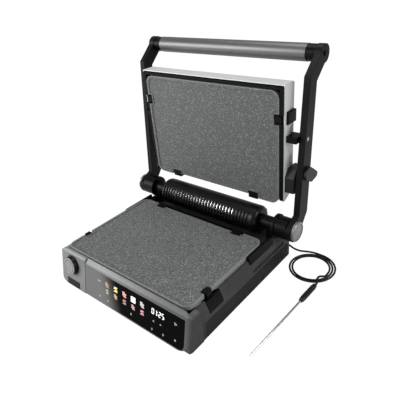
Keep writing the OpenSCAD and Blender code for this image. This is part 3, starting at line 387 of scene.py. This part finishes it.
class Socket:
    """One value in a material, with Python's own operators for the Math node."""

    def __init__(self, tree, link):
        self.tree = tree
        self.link = link

    def output(self, name):
        """Another output of the node that this value comes from."""
        return Socket(self.tree, self.link.node.outputs[name])

    def math(self, operation, other=None):
        sockets = {0: self} if other is None else {0: self, 1: other}
        return add_node(self.tree, "ShaderNodeMath", {"operation": operation}, sockets)

    def __add__(self, other):
        return self.math("ADD", other)

    def __sub__(self, other):
        return self.math("SUBTRACT", other)

    def __mul__(self, other):
        return self.math("MULTIPLY", other)

    def __rsub__(self, other):
        return (self * -1.0) + other

    __radd__ = __add__
    __rmul__ = __mul__

    def smooth(self, low, high):
        """0 at low, 1 at high and a soft step between."""
        settings = {"interpolation_type": "SMOOTHSTEP"}
        sockets = {"Value": self, "From Min": low, "From Max": high}
        return add_node(self.tree, "ShaderNodeMapRange", settings, sockets, "Result")


class Finish:
    """A material under construction."""

    def __init__(self, name):
        self.material = bpy.data.materials.new(name)
        self.material.use_nodes = True
        self.tree = self.material.node_tree
        self.shader = self.tree.nodes["Principled BSDF"]

    def node(self, kind, settings, sockets, out=0):
        return add_node(self.tree, kind, settings, sockets, out)

    def place(self):
        return self.node("ShaderNodeTexCoord", {}, {}, "Object")

    def axis(self, number):
        return self.node("ShaderNodeSeparateXYZ", {}, {"Vector": self.place()}, number)

    def stretched(self, scale):
        return self.node("ShaderNodeMapping", {}, {"Vector": self.place(), "Scale": scale})

    def noise(self, size, detail=2.0, rough=0.5, where=None):
        sockets = {
            "Vector": where or self.place(), "Scale": 1 / size, "Detail": detail,
            "Roughness": rough,
        }
        return self.node("ShaderNodeTexNoise", {}, sockets, "Fac")

    def cells(self, size):
        sockets = {"Vector": self.place(), "Scale": 1 / size}
        return self.node("ShaderNodeTexVoronoi", {}, sockets, "Distance")

    def moulded(self):
        """The noises of a moulded or painted surface: fine grain, slow drift, rubbed patches."""
        grain = self.noise(sizes().grain, 3.0, 0.6)
        drift = self.noise(0.03, 2.0)
        rub = self.noise(0.006, 4.0, 0.65)
        return grain, drift, rub

    def mix(self, factor, a, b):
        """A colour between a and b, which are a Mix node's sockets 6 and 7, with output 2."""
        return self.node("ShaderNodeMix", {"data_type": "RGBA"}, {0: factor, 6: a, 7: b}, 2)

    def set(self, **inputs):
        """Fills sockets of the surface shader, with an underscore for each space in a name."""
        for key, value in inputs.items():
            fill(self.tree, self.shader.inputs[key.replace("_", " ")], value)

    def relief(self, height, depth, edge):
        """Bump of that depth in metres over edges rounded by edge. Gives the material back."""
        sockets = {"Distance": depth, "Height": height}
        if edge:
            sockets["Normal"] = self.node("ShaderNodeBevel", {"samples": 6}, {"Radius": edge})
        self.set(Normal=self.node("ShaderNodeBump", {}, sockets))
        return self.material


def shade(colour, factor):
    return tuple(c * factor for c in tuple(colour)[:3])


def grained(name, colour, rough, metal=0.0, edge=None, depth=0.00004, coat=0.0, gloss=0.5):
    """Moulded or painted surface: fine grain, slow colour drift and slightly rubbed patches."""
    spread, wear = 0.12, 0.12
    f = Finish(name)
    grain, drift, rub = f.moulded()
    low, high = shade(colour, 1 - spread), shade(colour, 1 + spread)
    f.set(
        Base_Color=f.mix(drift.smooth(0.3, 0.7), low, high),
        Roughness=(rub - 0.5) * wear + rough,
        Metallic=metal,
        Specular_IOR_Level=gloss,
    )
    if coat:
        f.set(Coat_Weight=coat, Coat_Roughness=0.12)
    return f.relief(grain, depth, sizes().edge if edge is None else edge)


def brushed(name, colour, rough, along, edge, metal=1.0):
    """Satin metal with hair lines along one axis (0 is X, 1 is Y, 2 is Z)."""
    f = Finish(name)
    line_width, line_depth = 0.0005, 0.00002
    stretch = [1.0, 1.0, 1.0]
    stretch[along] = 0.02
    lines = f.noise(line_width, 3.0, 0.6, where=f.stretched(stretch))
    drift = f.noise(0.05, 2.0)
    f.set(
        Base_Color=f.mix(lines, shade(colour, 0.9), shade(colour, 1.08)),
        Roughness=(lines - 0.5) * 0.16 + (drift - 0.5) * 0.06 + rough,
        Metallic=metal,
    )
    return f.relief(lines, line_depth, edge)


def granite(name, middle, up):
    """Non-stick coating: a grey ground under pale and dark speckles, with a painted highlight along
    the rim.

    The painted highlight lies along the rim, where q, the distance from a rectangle with rounded
    corners,
    nears 0: q = length(max(|p - middle| - half + corner, 0)) - corner, over X and the axis numbered
    up.
    """
    f = Finish(name)
    c = colours().plate
    size = sizes().speckle
    highlight_starts, highlight_full = -0.0017, -0.0011
    fine = f.noise(size * 0.7, 2.0, 0.75)
    pale = f.cells(size).smooth(0.42, 0.16)
    pick = f.noise(size * 1.7, 1.0).smooth(0.44, 0.6)
    dark = f.cells(size * 1.3).smooth(0.36, 0.12)
    cloud = f.noise(0.05, 3.0)
    ground = f.mix(fine.smooth(0.3, 0.7), shade(c, 0.3), shade(c, 2.0))
    ground = f.mix(dark * 0.6, ground, shade(c, 0.16))
    ground = f.mix(pale * pick * 0.9, ground, shade(c, 5.0))
    sides = [
        ((f.axis(k) - m).math("ABSOLUTE") - (half - PLATE_CORNER)).math("MAXIMUM", 0.0)
        for k, m, half in zip((0, up), (0, middle), PLATE_HALF)
    ]
    q = (sides[0] * sides[0] + sides[1] * sides[1]).math("SQRT") - PLATE_CORNER
    # Painted highlight: a pale line along the plate's rim, where light catches its rounded edge.
    rim_highlight = q.smooth(highlight_starts, highlight_full)
    f.set(
        Base_Color=f.mix(rim_highlight * 0.5, ground, shade(c, 3.6)),
        Roughness=(cloud - 0.5) * 0.1 + 0.5,
        Metallic=0.0,
        Specular_IOR_Level=0.35,
    )
    return f.relief(fine + pale * 0.4, depth=0.00012, edge=0.0016)


# Where painted light and shade change the housing's paint: from the first place to the second.
SHADE_BEHIND_BLOCK = (0.0375 - MID_Y, 0.0385 - MID_Y)
SHADE_ON_RIGHT_SIDE = (0.168, 0.1747)
LIGHT_FALLOFF_ACROSS_FRONT = (-0.09, 0.16)


def gunmetal_with_painted_shade():
    """Gunmetal paint with painted light and shade: lighter at the front block's left end, darker
    towards its right, and painted darker on its right side and on the bands behind it.
    """
    f = Finish("gunmetal paint with painted shade")
    c = colours().housing
    grain, drift, rub = f.moulded()
    # Painted shade: the paint turns darker on the bands behind the front block and on its right
    # side.
    behind = f.axis(1).smooth(*SHADE_BEHIND_BLOCK)
    right = f.axis(0).smooth(*SHADE_ON_RIGHT_SIDE)
    # Painted light: the front block's paint is lighter at its left end and falls off towards its
    # right.
    light_falloff = f.axis(0).smooth(*LIGHT_FALLOFF_ACROSS_FRONT)
    front = f.mix(light_falloff, shade(c, 1.05), shade(c, 0.5))
    base = f.mix(behind.math("MAXIMUM", right), front, shade(c, 0.16))
    f.set(
        Base_Color=f.mix(drift.smooth(0.3, 0.7) * 0.25, base, f.mix(0.5, base, shade(c, 0.6))),
        Roughness=(rub - 0.5) * 0.12 + 0.5,
        Metallic=0.2,
        Specular_IOR_Level=0.3,
    )
    return f.relief(grain, depth=0.00004, edge=0.0018)


def glossy_glass():
    """Black panel with a painted reflection that is grey at its left end and fades to black."""
    f = Finish("display glass")
    black, reflection_grey = (0.0012, 0.0015, 0.0015), (0.17, 0.17, 0.17)
    reflection_starts, reflection_ends, lean = -0.034, 0.022, 0.35
    # Painted reflection: grey at the left end of the glass, fading to black towards the right and
    # up.
    painted_reflection = 1 - (f.axis(0) + f.axis(2) * lean).smooth(reflection_starts, reflection_ends)
    dust = f.noise(0.004, 5.0, 0.7)
    f.set(
        Base_Color=f.mix(painted_reflection, black, reflection_grey),
        Roughness=(dust - 0.5) * 0.05 + 0.16,
        Specular_IOR_Level=0.02,
    )
    return f.relief(f.noise(0.02, 1.0), depth=0.00001, edge=0.0005)


def glow(name, colour, strength, plain):
    """Lit mark whose unlit colour is that share of its light's."""
    f = Finish(name)
    speck = f.noise(0.0016, 2.0)
    tint = f.mix(speck.smooth(0.2, 0.8), shade(colour, 0.75), colour)
    f.set(
        Base_Color=shade(colour, plain),
        Roughness=0.3,
        Emission_Color=tint,
        Emission_Strength=strength,
    )
    return f.material


MATERIALS = {}


def finish(name):
    """The finished material of that name, made when it is first asked for."""
    if name not in MATERIALS:
        MATERIALS[name] = MAKERS[name]()
    return MATERIALS[name]


KNOB_PAINT = (0.24, 0.243, 0.25)
CAP_PAINT = (0.21, 0.212, 0.216)
RUBBED_BLACK = (0.004, 0.004, 0.0045)
FOOT_BLACK = (0.014, 0.014, 0.014)
TRAY_GREY = (0.035, 0.036, 0.038)
ROTOR_GREY = (0.05, 0.05, 0.053)
BOARD_GREEN = (0.015, 0.11, 0.045)
HEATER_BROWN = (0.22, 0.2, 0.18)
SHEET_METAL = (0.7, 0.7, 0.71)
PIN_METAL = (0.6, 0.6, 0.62)
ROD_METAL = (0.62, 0.62, 0.64)

MAKERS = {
    "housing_grey": gunmetal_with_painted_shade,
    "dark_plastic": lambda: grained("dark wall plastic", colours().dark, rough=0.42, gloss=0.3),
    "arm_plastic": lambda: grained(
        "arm plastic", shade(colours().black, 0.6), rough=0.42, edge=0.0016, gloss=0.14
    ),
    "black_plastic": lambda: grained(
        "black plastic", shade(colours().black, 0.5), rough=0.36, gloss=0.1
    ),
    "hood_plastic": lambda: grained(
        "hood plastic", shade(colours().black, 0.5), rough=0.3, edge=0.0008, gloss=0.22
    ),
    "display_black": glossy_glass,
    "knob_silver": lambda: grained("knob paint", KNOB_PAINT, rough=0.36, metal=0.3, edge=0.0004),
    "knob_black": lambda: grained(
        "knob skirt", RUBBED_BLACK, rough=0.35, edge=0.0004, gloss=0.15
    ),
    "plate_granite": lambda: granite("granite coating", LOWER_PLATE_Y, up=1),
    "upper_granite": lambda: granite("upright granite coating", UPPER_PLATE_Z, up=2),
    "cover_silver": lambda: brushed(
        "lid cover silver", colours().cover, rough=0.42, along=0, edge=0.0022, metal=0.35
    ),
    "handle_silver": lambda: brushed(
        "handle silver", colours().handle, rough=0.4, along=0, edge=0.0008, metal=0.7
    ),
    "cap_grey": lambda: grained("cap paint", CAP_PAINT, rough=0.32, metal=0.35, edge=0.0008),
    "sheet_steel": lambda: brushed(
        "reflector sheet", SHEET_METAL, rough=0.25, along=0, edge=0.0004
    ),
    "heater_steel": lambda: grained(
        "heater sheath", HEATER_BROWN, rough=0.45, metal=0.9, edge=0.0003
    ),
    "pin_steel": lambda: brushed("bright steel", PIN_METAL, rough=0.2, along=2, edge=0.0003),
    "rubber_black": lambda: grained(
        "foot rubber", FOOT_BLACK, rough=0.75, edge=0.0006, depth=0.00008
    ),
    "board_green": lambda: grained(
        "solder mask", BOARD_GREEN, rough=0.35, edge=0.0002, coat=0.5
    ),
    "rotor_grey": lambda: grained("rotor plastic", ROTOR_GREY, rough=0.5, edge=0.0003),
    "tray_grey": lambda: grained("drip tray plastic", TRAY_GREY, rough=0.5, edge=0.0008),
    "probe_black": lambda: grained(
        "probe rubber", RUBBED_BLACK, rough=0.35, edge=0.0004, depth=0.00002, gloss=0.25
    ),
    "probe_steel": lambda: brushed("probe rod steel", ROD_METAL, rough=0.16, along=1, edge=0.0),
}

# The nodes whose finish isn't named as their slot is.
FINISH_OF = {
    "arm_right": "arm_plastic",
    "arm_left": "arm_plastic",
    "smoke_hood": "hood_plastic",
    "upper_plate": "upper_granite",
    "handle_screws": "black_plastic",
    "socket_cover": "knob_black",
}

WELD_REACH = 0.00001
SHARP_ANGLE = 0.6


def dress(node):
    """Gives a CAD node its finish, with its triangles joined and soft under the sharp angle."""
    obj = NODES[node]
    recipe = SLOT_OF[node]
    material = finish(FINISH_OF.get(node, recipe))
    obj.data.materials.clear()
    obj.data.materials.append(material)
    obj.data.polygons.foreach_set("use_smooth", np.full(len(obj.data.polygons), True))
    weld = obj.modifiers.new("weld", "WELD")
    weld.merge_threshold = WELD_REACH
    split = obj.modifiers.new("split", "EDGE_SPLIT")
    split.split_angle = SHARP_ANGLE
    return obj


# ---------------------------------------------------------------- the stage

SENSOR_WIDTH = 36  # in millimetres, as Blender counts it
CLIP_END = 20
LAMP_AIM = Vector((0, 0, 0.15))
# Each lamp's name, place, share of the key light's power, and size.
LAMPS = (
    ("key_lamp", (-1.1, -1.1, 0.8), 1.0, 0.9),
    ("fill_lamp", (1.5, 0.3, 0.9), 0.5, 0.8),
    ("top_lamp", (-0.2, 0.3, 1.7), 0.35, 0.8),
)
WHITE = (1, 1, 1)
WALL_WHITE = 1.05
FLOOR_WHITE = 1.06
FLOOR_GREY = (0.8, 0.8, 0.8)
FLOOR_LIT_SHARE = 0.94
FLOOR_RADIUS = 4
FLOOR_SIDES = 96
FLOOR_Z = -0.0002


class GRILL_OT_stage(Operator):
    """Sets the camera, the soft light and the pale floor"""

    bl_idname = "grill.stage"
    bl_label = "Camera, light and floor"

    def execute(self, context):
        scene = context.scene
        self.camera(scene)
        self.world(scene)
        self.lamps(scene)
        self.floor(scene)
        scene.view_settings.view_transform = "Standard"
        return {"FINISHED"}

    def camera(self, scene):
        """The picture's camera, turned by its azimuth and elevation and rolled about its view."""
        view = view_set()
        a, e, r = view.azimuth, view.elevation, view.roll
        forward = Vector((-math.sin(a) * math.cos(e), math.cos(a) * math.cos(e), -math.sin(e)))
        right = Vector((math.cos(a), math.sin(a), 0))
        up = right.cross(forward)
        right, up = right * math.cos(r) + up * math.sin(r), up * math.cos(r) - right * math.sin(r)
        data = bpy.data.cameras.new("picture camera")
        data.lens = view.lens
        data.sensor_width = SENSOR_WIDTH
        data.clip_end = CLIP_END
        camera = bpy.data.objects.new("picture_camera", data)
        scene.collection.objects.link(camera)
        turn = Matrix((right, up, -forward)).transposed().to_4x4()
        camera.matrix_world = Matrix.Translation(Vector(view.camera)) @ turn
        scene.camera = camera

    def world(self, scene):
        """Even light, and pure white where the camera or clear glass looks at it."""
        world = bpy.data.worlds.new("white room")
        world.use_nodes = True
        scene.world = world
        tree = world.node_tree
        tree.nodes.clear()
        rays = add_node(tree, "ShaderNodeLightPath", {}, {}, "Is Camera Ray")
        seen = rays.math("MAXIMUM", rays.output("Is Transmission Ray"))
        soft, white = (
            add_node(tree, "ShaderNodeBackground", {}, {"Color": WHITE, "Strength": strength})
            for strength in (view_set().soft_light, WALL_WHITE)
        )
        join = add_node(tree, "ShaderNodeMixShader", {}, {0: seen, 1: soft, 2: white})
        add_node(tree, "ShaderNodeOutputWorld", {}, {"Surface": join})

    def lamps(self, scene):
        """A key lamp at the front left, a fill lamp at the right and a top lamp, all aimed."""
        for name, place, share, size in LAMPS:
            data = bpy.data.lights.new(name, "AREA")
            data.energy = view_set().key_light * share
            data.size = size
            lamp = bpy.data.objects.new(name, data)
            lamp.location = place
            lamp.rotation_euler = (LAMP_AIM - Vector(place)).to_track_quat("-Z", "Y").to_euler()
            scene.collection.objects.link(lamp)

    def floor(self, scene):
        """A disc that is white to the camera but keeps a faint shadow."""
        t = np.linspace(0, 2 * np.pi, FLOOR_SIDES, endpoint=False)
        x, y = FLOOR_RADIUS * np.cos(t), FLOOR_RADIUS * np.sin(t)
        ring = np.stack([x, y, np.full_like(t, FLOOR_Z)], axis=-1)
        mesh = bpy.data.meshes.new("floor")
        mesh.from_pydata(ring.tolist(), [], [list(range(FLOOR_SIDES))])
        floor = bpy.data.objects.new("floor", mesh)
        scene.collection.objects.link(floor)
        material = bpy.data.materials.new("floor white")
        material.use_nodes = True
        tree = material.node_tree
        tree.nodes.clear()
        matt = add_node(tree, "ShaderNodeBsdfDiffuse", {}, {"Color": FLOOR_GREY})
        sockets = {"Color": WHITE, "Strength": FLOOR_WHITE}
        light = add_node(tree, "ShaderNodeEmission", {}, sockets)
        lit = add_node(tree, "ShaderNodeLightPath", {}, {}, "Is Camera Ray") * FLOOR_LIT_SHARE
        join = add_node(tree, "ShaderNodeMixShader", {}, {0: lit, 1: matt, 2: light})
        add_node(tree, "ShaderNodeOutputMaterial", {}, {"Surface": join})
        mesh.materials.append(material)


# ---------------------------------------------------------------- the probe

# The cable runs from the jack along LEAD, round the coil and along TAIL into the grip.
LEAD = [
    (157.5, 338, 14), (162, 338, 14), (168, 338.5, 11.4), (174, 340, 7.4), (181, 342.5, 4.2),
    (189, 345.8, 2.4), (198, 350, 2), (208, 353.4, 2), (218, 355, 2),
]
TAIL = [
    (265.3, 305, 2), (265.3, 301, 2), (263.6, 297.1, 2.3), (261.5, 293.8, 3.5),
    (259.6, 290.2, 5.2), (258.2, 286, 6.6), (257.8, 281.4, 7.1), (258.3, 276.6, 7.1),
    (259.8, 272.4, 6.4), (262.24, 268, 5.3), (262, 262, 5.3),
]
COIL_AT = (231, 309, 2.0)
COIL_R = 46
COIL_PITCH = 5.2
COIL_TURNS = 2.25
COIL_STEPS = 48
ROUTE_STEP = 0.002
GRIP_AT = (262, 262, 5.3)
GRIP_AIM = (-8.6, -213.4, 0.0)
GRIP_SHOULDER = [(0, 0), (0, 3.4), (2, 4.3), (9, 5.2)]
GRIP_RING = [(0, 5.25), (0.8, 4.7), (1.6, 4.7), (2.4, 5.25)]
GRIP_RINGS_AT = (11, 14, 17, 20, 23)
GRIP_END = [(28, 5.3), (44, 5.2), (50, 4.6), (54, 3.4), (54, 0)]


class GRILL_OT_probe(Operator):
    """Makes the food probe with its cable, coil, grip and rod"""

    bl_idname = "grill.probe"
    bl_label = "Food probe"

    def execute(self, context):
        path = smooth_route(over_table(np.vstack([LEAD, self.coil(), TAIL])), ROUTE_STEP)
        pts, faces, uv, length = swept(path, sizes().cable / 2)
        pts[:, 2] = np.maximum(pts[:, 2], 0.0)
        rubber = finish("probe_black")
        cable = put_mesh("probe_cable", pts, faces, "base", rubber, uv=uv)
        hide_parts("probe_lead", "probe_coil", "probe_tail")
        grip = self.grip()
        rod = dress("probe_rod")
        plug = dress("probe_plug")
        dress("probe_jack")
        return {"FINISHED"}

    def coil(self):
        """A flat spiral in millimetres: after t turns its radius is COIL_R - COIL_PITCH * t."""
        t = np.arange(int(COIL_TURNS * COIL_STEPS) + 1) / COIL_STEPS
        a = np.radians(90 - 360 * t)
        r = COIL_R - COIL_PITCH * t
        x, y, z = COIL_AT
        return np.stack([x + r * np.cos(a), y + r * np.sin(a), np.full_like(a, z)], axis=-1)

    def grip(self):
        """A turned barrel with finger rings."""
        aim = np.array(GRIP_AIM)
        aim /= np.linalg.norm(aim)
        rings = [(z + dz, r) for z in GRIP_RINGS_AT for dz, r in GRIP_RING]
        profile = np.array(GRIP_SHOULDER + rings + GRIP_END) / 1000
        grip = turned(
            "probe_handle", profile, over_table(GRIP_AT), aim, "base", finish("probe_black"),
            round_r=0.0005, sides=40,
        )
        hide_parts("probe_grip")
        return grip


# ---------------------------------------------------------------- pieces carried over


def dress_all(*nodes):
    for node in nodes:
        dress(node)
    return {"FINISHED"}


class GRILL_OT_base(Operator):
    """Finishes the housing, the tray wall, the feet and what the base holds"""

    bl_idname = "grill.base"
    bl_label = "Base"

    def execute(self, context):
        return dress_all(
            "base_tray", "bottom_feet", "bottom_screws", "upper_housing", "socket_cover",
            "power_board", "control_board", "knob_encoder", "knob_shaft", "drip_tray",
            "mains_inlet", "rear_side_covers", "lower_latch_right", "lower_latch_left",
            "lower_latch_pins", "lower_hooks", "lower_heater", "lower_reflector",
            "lower_sensor", "display_glass",
        )


class GRILL_OT_plates(Operator):
    """Finishes the two grill plates with their granite coating"""

    bl_idname = "grill.plates"
    bl_label = "Grill plates"

    def execute(self, context):
        return dress_all("lower_plate", "upper_plate")


class GRILL_OT_hood(Operator):
    """Finishes the smoke hood, its fan and the hinge barrels"""

    bl_idname = "grill.hood"
    bl_label = "Smoke hood"

    def execute(self, context):
        return dress_all(
            "smoke_hood", "grease_filter", "fan_rotor", "fan_motor", "hinge_barrels",
            "hinge_pins",
        )


class GRILL_OT_arms(Operator):
    """Finishes the arms, the handle and the lock lever"""

    bl_idname = "grill.arms"
    bl_label = "Arms and handle"

    def execute(self, context):
        return dress_all(
            "arm_right", "arm_left", "arm_cap_right", "arm_cap_left", "handle_tube",
            "handle_collars", "handle_screws", "lock_lever",
        )


class GRILL_OT_lid(Operator):
    """Finishes the lid's cover, frame, blocks and latches"""

    bl_idname = "grill.lid"
    bl_label = "Lid"

    def execute(self, context):
        return dress_all(
            "lid_cover", "lid_frame", "upper_heater", "upper_reflector", "upper_sensor",
            "upper_hooks", "lid_pivot_blocks", "lid_pivot_pins", "upper_latch_right",
            "upper_latch_left", "upper_latch_pins", "lock_bracket",
        )


# ---------------------------------------------------------------- the knob

KNOB_AT = (-131.5, 0.0, 46.5 / math.cos(FACE_TILT))
KNOB_SKIRT = [(0, 0), (0, 19.4), (1.8, 19.4), (1.8, 18.6), (2.0, 18.4), (9.4, 17.3), (9.4, 0)]
KNOB_FRONT = [
    (8.6, 0), (8.6, 17.2), (9.2, 17.25), (9.85, 16.7), (10.0, 16.2), (10.0, 13.7), (9.7, 13.3),
    (9.3, 13.0), (9.3, 12.6), (9.75, 12.4), (9.9, 11.9), (9.95, 6), (9.95, 0),
]
KNOB_SIDES = 128


class GRILL_OT_knob(Operator):
    """Makes the control knob: a black skirt, and a painted front with a groove round its disc"""

    bl_idname = "grill.knob"
    bl_label = "Control knob"

    def execute(self, context):
        origin = on_face([KNOB_AT])[0]
        skirt = turned(
            "knob_skirt", np.array(KNOB_SKIRT) / 1000, origin, FACE_OUT, "knob",
            finish("knob_black"), round_r=0.0003, sides=KNOB_SIDES,
        )
        front = turned(
            "knob_front", np.array(KNOB_FRONT) / 1000, origin, FACE_OUT, "knob",
            finish("knob_silver"), round_r=0.0002, sides=KNOB_SIDES,
        )
        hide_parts("control_knob")
        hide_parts("control_knob")
        return {"FINISHED"}


# ---------------------------------------------------------------- the lit marks

# Places on the leaning face in millimetres. Each tile has its x, its height and its strength.
TILE_UPPER = [
    (-27.1, 46.0, 0.35), (-3.2, 46.6, 1.0), (20.6, 46.6, 0.9), (43.6, 46.6, 1.9),
    (66.2, 46.6, 0.75),
]
TILE_LOWER = [
    (-27.1, 32.0, 0.3), (-3.2, 31.8, 0.5), (20.6, 31.6, 0.5), (43.6, 31.4, 0.65),
    (66.2, 31.2, 0.7),
]
UPPER_COLOURS = [
    (0.9, 0.62, 0.3), (1.0, 0.9, 0.35), (1.0, 0.5, 0.45), (1.0, 0.98, 0.85), (0.9, 0.86, 0.86),
]
LOWER_COLOURS = [
    (0.85, 0.8, 0.6), (1.0, 0.72, 0.5), (1.0, 0.48, 0.42), (1.0, 0.55, 0.55), (1.0, 0.45, 0.48),
]
UPPER_HALF, LOWER_HALF = 5.6, 4.9
TILE_ROWS = 4
SOLID_TILE = 4

SEGMENTS = {"0": "abcdef", "1": "bc", "2": "abged", "5": "afgcd"}
DIGITS = (("0", 89.5), ("1", 96.0), ("2", 105.5), ("5", 112.8))
DIGIT_UP, DIGIT_WIDE, DIGIT_HIGH, DIGIT_BAR = 41.5, 5.6, 11.0, 1.35
CLOCK_DOTS = ((102.9, 44.2, 104.0, 45.5), (102.9, 48.8, 104.0, 50.1))
CLOCK_COLOUR = (0.9, 0.95, 1.0)

TOUCH_COLOUR = (0.9, 0.93, 0.95)
MARK_UNDER = -0.2


def flat_marks(name, shapes, colour, strength, plain=0.3):
    """Thin lit plates just over the glass: shapes are lists of (x, up) corners in millimetres."""
    verts, faces = [], []
    for shape in shapes:
        n = len(shape)
        first = len(verts)
        verts += [(x, MARK_UNDER, up) for x, up in shape]
        verts += [(x, sizes().mark_height, up) for x, up in shape]
        faces.append([first + n + k for k in range(n)])
        faces.append([first + k for k in range(n)][::-1])
        for k in range(n):
            beside = (k + 1) % n
            faces.append([first + k, first + beside, first + n + beside, first + n + k])
    light = glow(name + " light", colour, strength, plain)
    put_mesh(name, on_face(verts), faces, "base", light, smooth=False)


def bar(x0, y0, x1, y1):
    return [(x0, y0), (x1, y0), (x1, y1), (x0, y1)]


def stroke(x0, y0, x1, y1, wide):
    """A bar of that width from one point to another."""
    d = np.array([x1 - x0, y1 - y0], float)
    nx, ny = np.array([-d[1], d[0]]) / np.hypot(*d) * wide / 2
    return [(x0 - nx, y0 - ny), (x1 - nx, y1 - ny), (x1 + nx, y1 + ny), (x0 + nx, y0 + ny)]


def disc(x, y, r, sides=14):
    t = np.linspace(0, 2 * np.pi, sides, endpoint=False)
    return [(x + r * math.cos(a), y + r * math.sin(a)) for a in t]


def seven_segment(digit, x):
    """The lit bars of a digit whose left side is at x."""
    y, w, h, t = DIGIT_UP, DIGIT_WIDE, DIGIT_HIGH, DIGIT_BAR
    m = y + h / 2
    near, far = t * 0.3, t * 0.5
    bars = {
        "a": bar(x + t, y + h - t, x + w - t, y + h),
        "b": bar(x + w - t, m + near, x + w, y + h - far),
        "c": bar(x + w - t, y + far, x + w, m - near),
        "d": bar(x + t, y, x + w - t, y + t),
        "e": bar(x, y + far, x + t, m - near),
        "f": bar(x, m + near, x + t, y + h - far),
        "g": bar(x + t, m - t / 2, x + w - t, m + t / 2),
    }
    return [bars[k] for k in SEGMENTS[digit]]


class GRILL_OT_marks(Operator):
    """Makes the lit tiles, the digits and the small touch marks behind the glass"""

    bl_idname = "grill.marks"
    bl_label = "Display marks"

    def execute(self, context):
        number = 0
        for row, row_colours, half in (
            (TILE_UPPER, UPPER_COLOURS, UPPER_HALF),
            (TILE_LOWER, LOWER_COLOURS, LOWER_HALF),
        ):
            for (x, up, strength), colour in zip(row, row_colours):
                number += 1
                flat_marks(f"tile_{number}", self.tile(number, x, up, half), colour, strength)
        flat_marks("clock_digits", self.clock(), CLOCK_COLOUR, strength=1.3, plain=0.8)
        flat_marks("touch_marks", self.touch(), TOUCH_COLOUR, strength=0.3, plain=0.35)
        return {"FINISHED"}

    def tile(self, number, x, up, half):
        """A generic tile: a full square, or rows of short bars that differ from tile to tile."""
        if number == SOLID_TILE:
            return [bar(x - half, up - half, x + half, up + half)]
        shapes = []
        step = 2 * half / TILE_ROWS
        for r in range(TILE_ROWS):
            y = up - half + r * step
            low, high = y + step * 0.12, y + step * 0.88
            short = half * (0.15 + 0.2 * ((r * 3 + number * 2) % 4))
            left, right = (short, 0.1 * half) if (r + number) % 2 else (0.1 * half, short)
            shapes.append(bar(x - half + left, low, x + half - right, high))
        return shapes

    def clock(self):
        """Four digits and the two dots between them."""
        shapes = []
        for digit, x in DIGITS:
            shapes += seven_segment(digit, x)
        return shapes + [bar(*dot) for dot in CLOCK_DOTS]

    def touch(self):
        """Small generic bars, dots, arrows and crosses of the touch controls."""
        marks = [bar(-54.5, 45.2, -46.0, 46.9)]
        for x, up in ((-48.5, 14.5), (-25.0, 13.1), (38.4, 15.3), (144.3, 15.8)):
            marks += [stroke(x - 1.9, up - 1.3, x + 1.9, up - 1.3, 1.0), disc(x, up + 0.9, 1.2)]
        for x, up in ((94.4, 28.5), (110.9, 28.8)):
            marks.append([(x - 2.5, up - 1.0), (x + 2.5, up - 1.0), (x, up + 1.6)])
        for x, up in ((91.3, 10.9), (117.3, 12.3)):
            marks.append(stroke(x - 0.2, up - 2.6, x - 0.2, up + 2.6, 1.0))
            marks.append(stroke(x - 1.8, up, x + 1.8, up, 0.9))
        marks.append(stroke(141.0, 48.6, 147.0, 46.4, 1.5))
        marks.append(stroke(141.4, 45.2, 144.6, 44.6, 1.1))
        return marks


# ---------------------------------------------------------------- the add-on

STEPS = ("stage", "probe", "base", "plates", "hood", "arms", "lid", "knob", "marks")


class GRILL_PT_panel(Panel):
    """Lists the grill's sizes, colours and steps"""

    bl_idname = "GRILL_PT_panel"
    bl_label = "Indoor grill"
    bl_space_type = "VIEW_3D"
    bl_region_type = "UI"
    bl_category = "Grill"

    def draw(self, context):
        layout = self.layout
        for group in (view_set(), sizes(), colours()):
            box = layout.box()
            for key in group.__annotations__:
                box.prop(group, key)
        for step in STEPS:
            layout.operator(f"grill.{step}")


CLASSES = (
    GrillView, GrillSizes, GrillColours, GRILL_OT_stage, GRILL_OT_probe, GRILL_OT_base,
    GRILL_OT_plates, GRILL_OT_hood, GRILL_OT_arms, GRILL_OT_lid, GRILL_OT_knob, GRILL_OT_marks,
    GRILL_PT_panel,
)


def register():
    for cls in CLASSES:
        bpy.utils.register_class(cls)
    bpy.types.Scene.grill_view = PointerProperty(type=GrillView)
    bpy.types.Scene.grill_sizes = PointerProperty(type=GrillSizes)
    bpy.types.Scene.grill_colours = PointerProperty(type=GrillColours)


def unregister():
    for key in ("grill_view", "grill_sizes", "grill_colours"):
        delattr(bpy.types.Scene, key)
    for cls in reversed(CLASSES):
        bpy.utils.unregister_class(cls)


def main():
    register()
    for step in STEPS:
        getattr(bpy.ops.grill, step)()


if __name__ == "__main__":
    main()
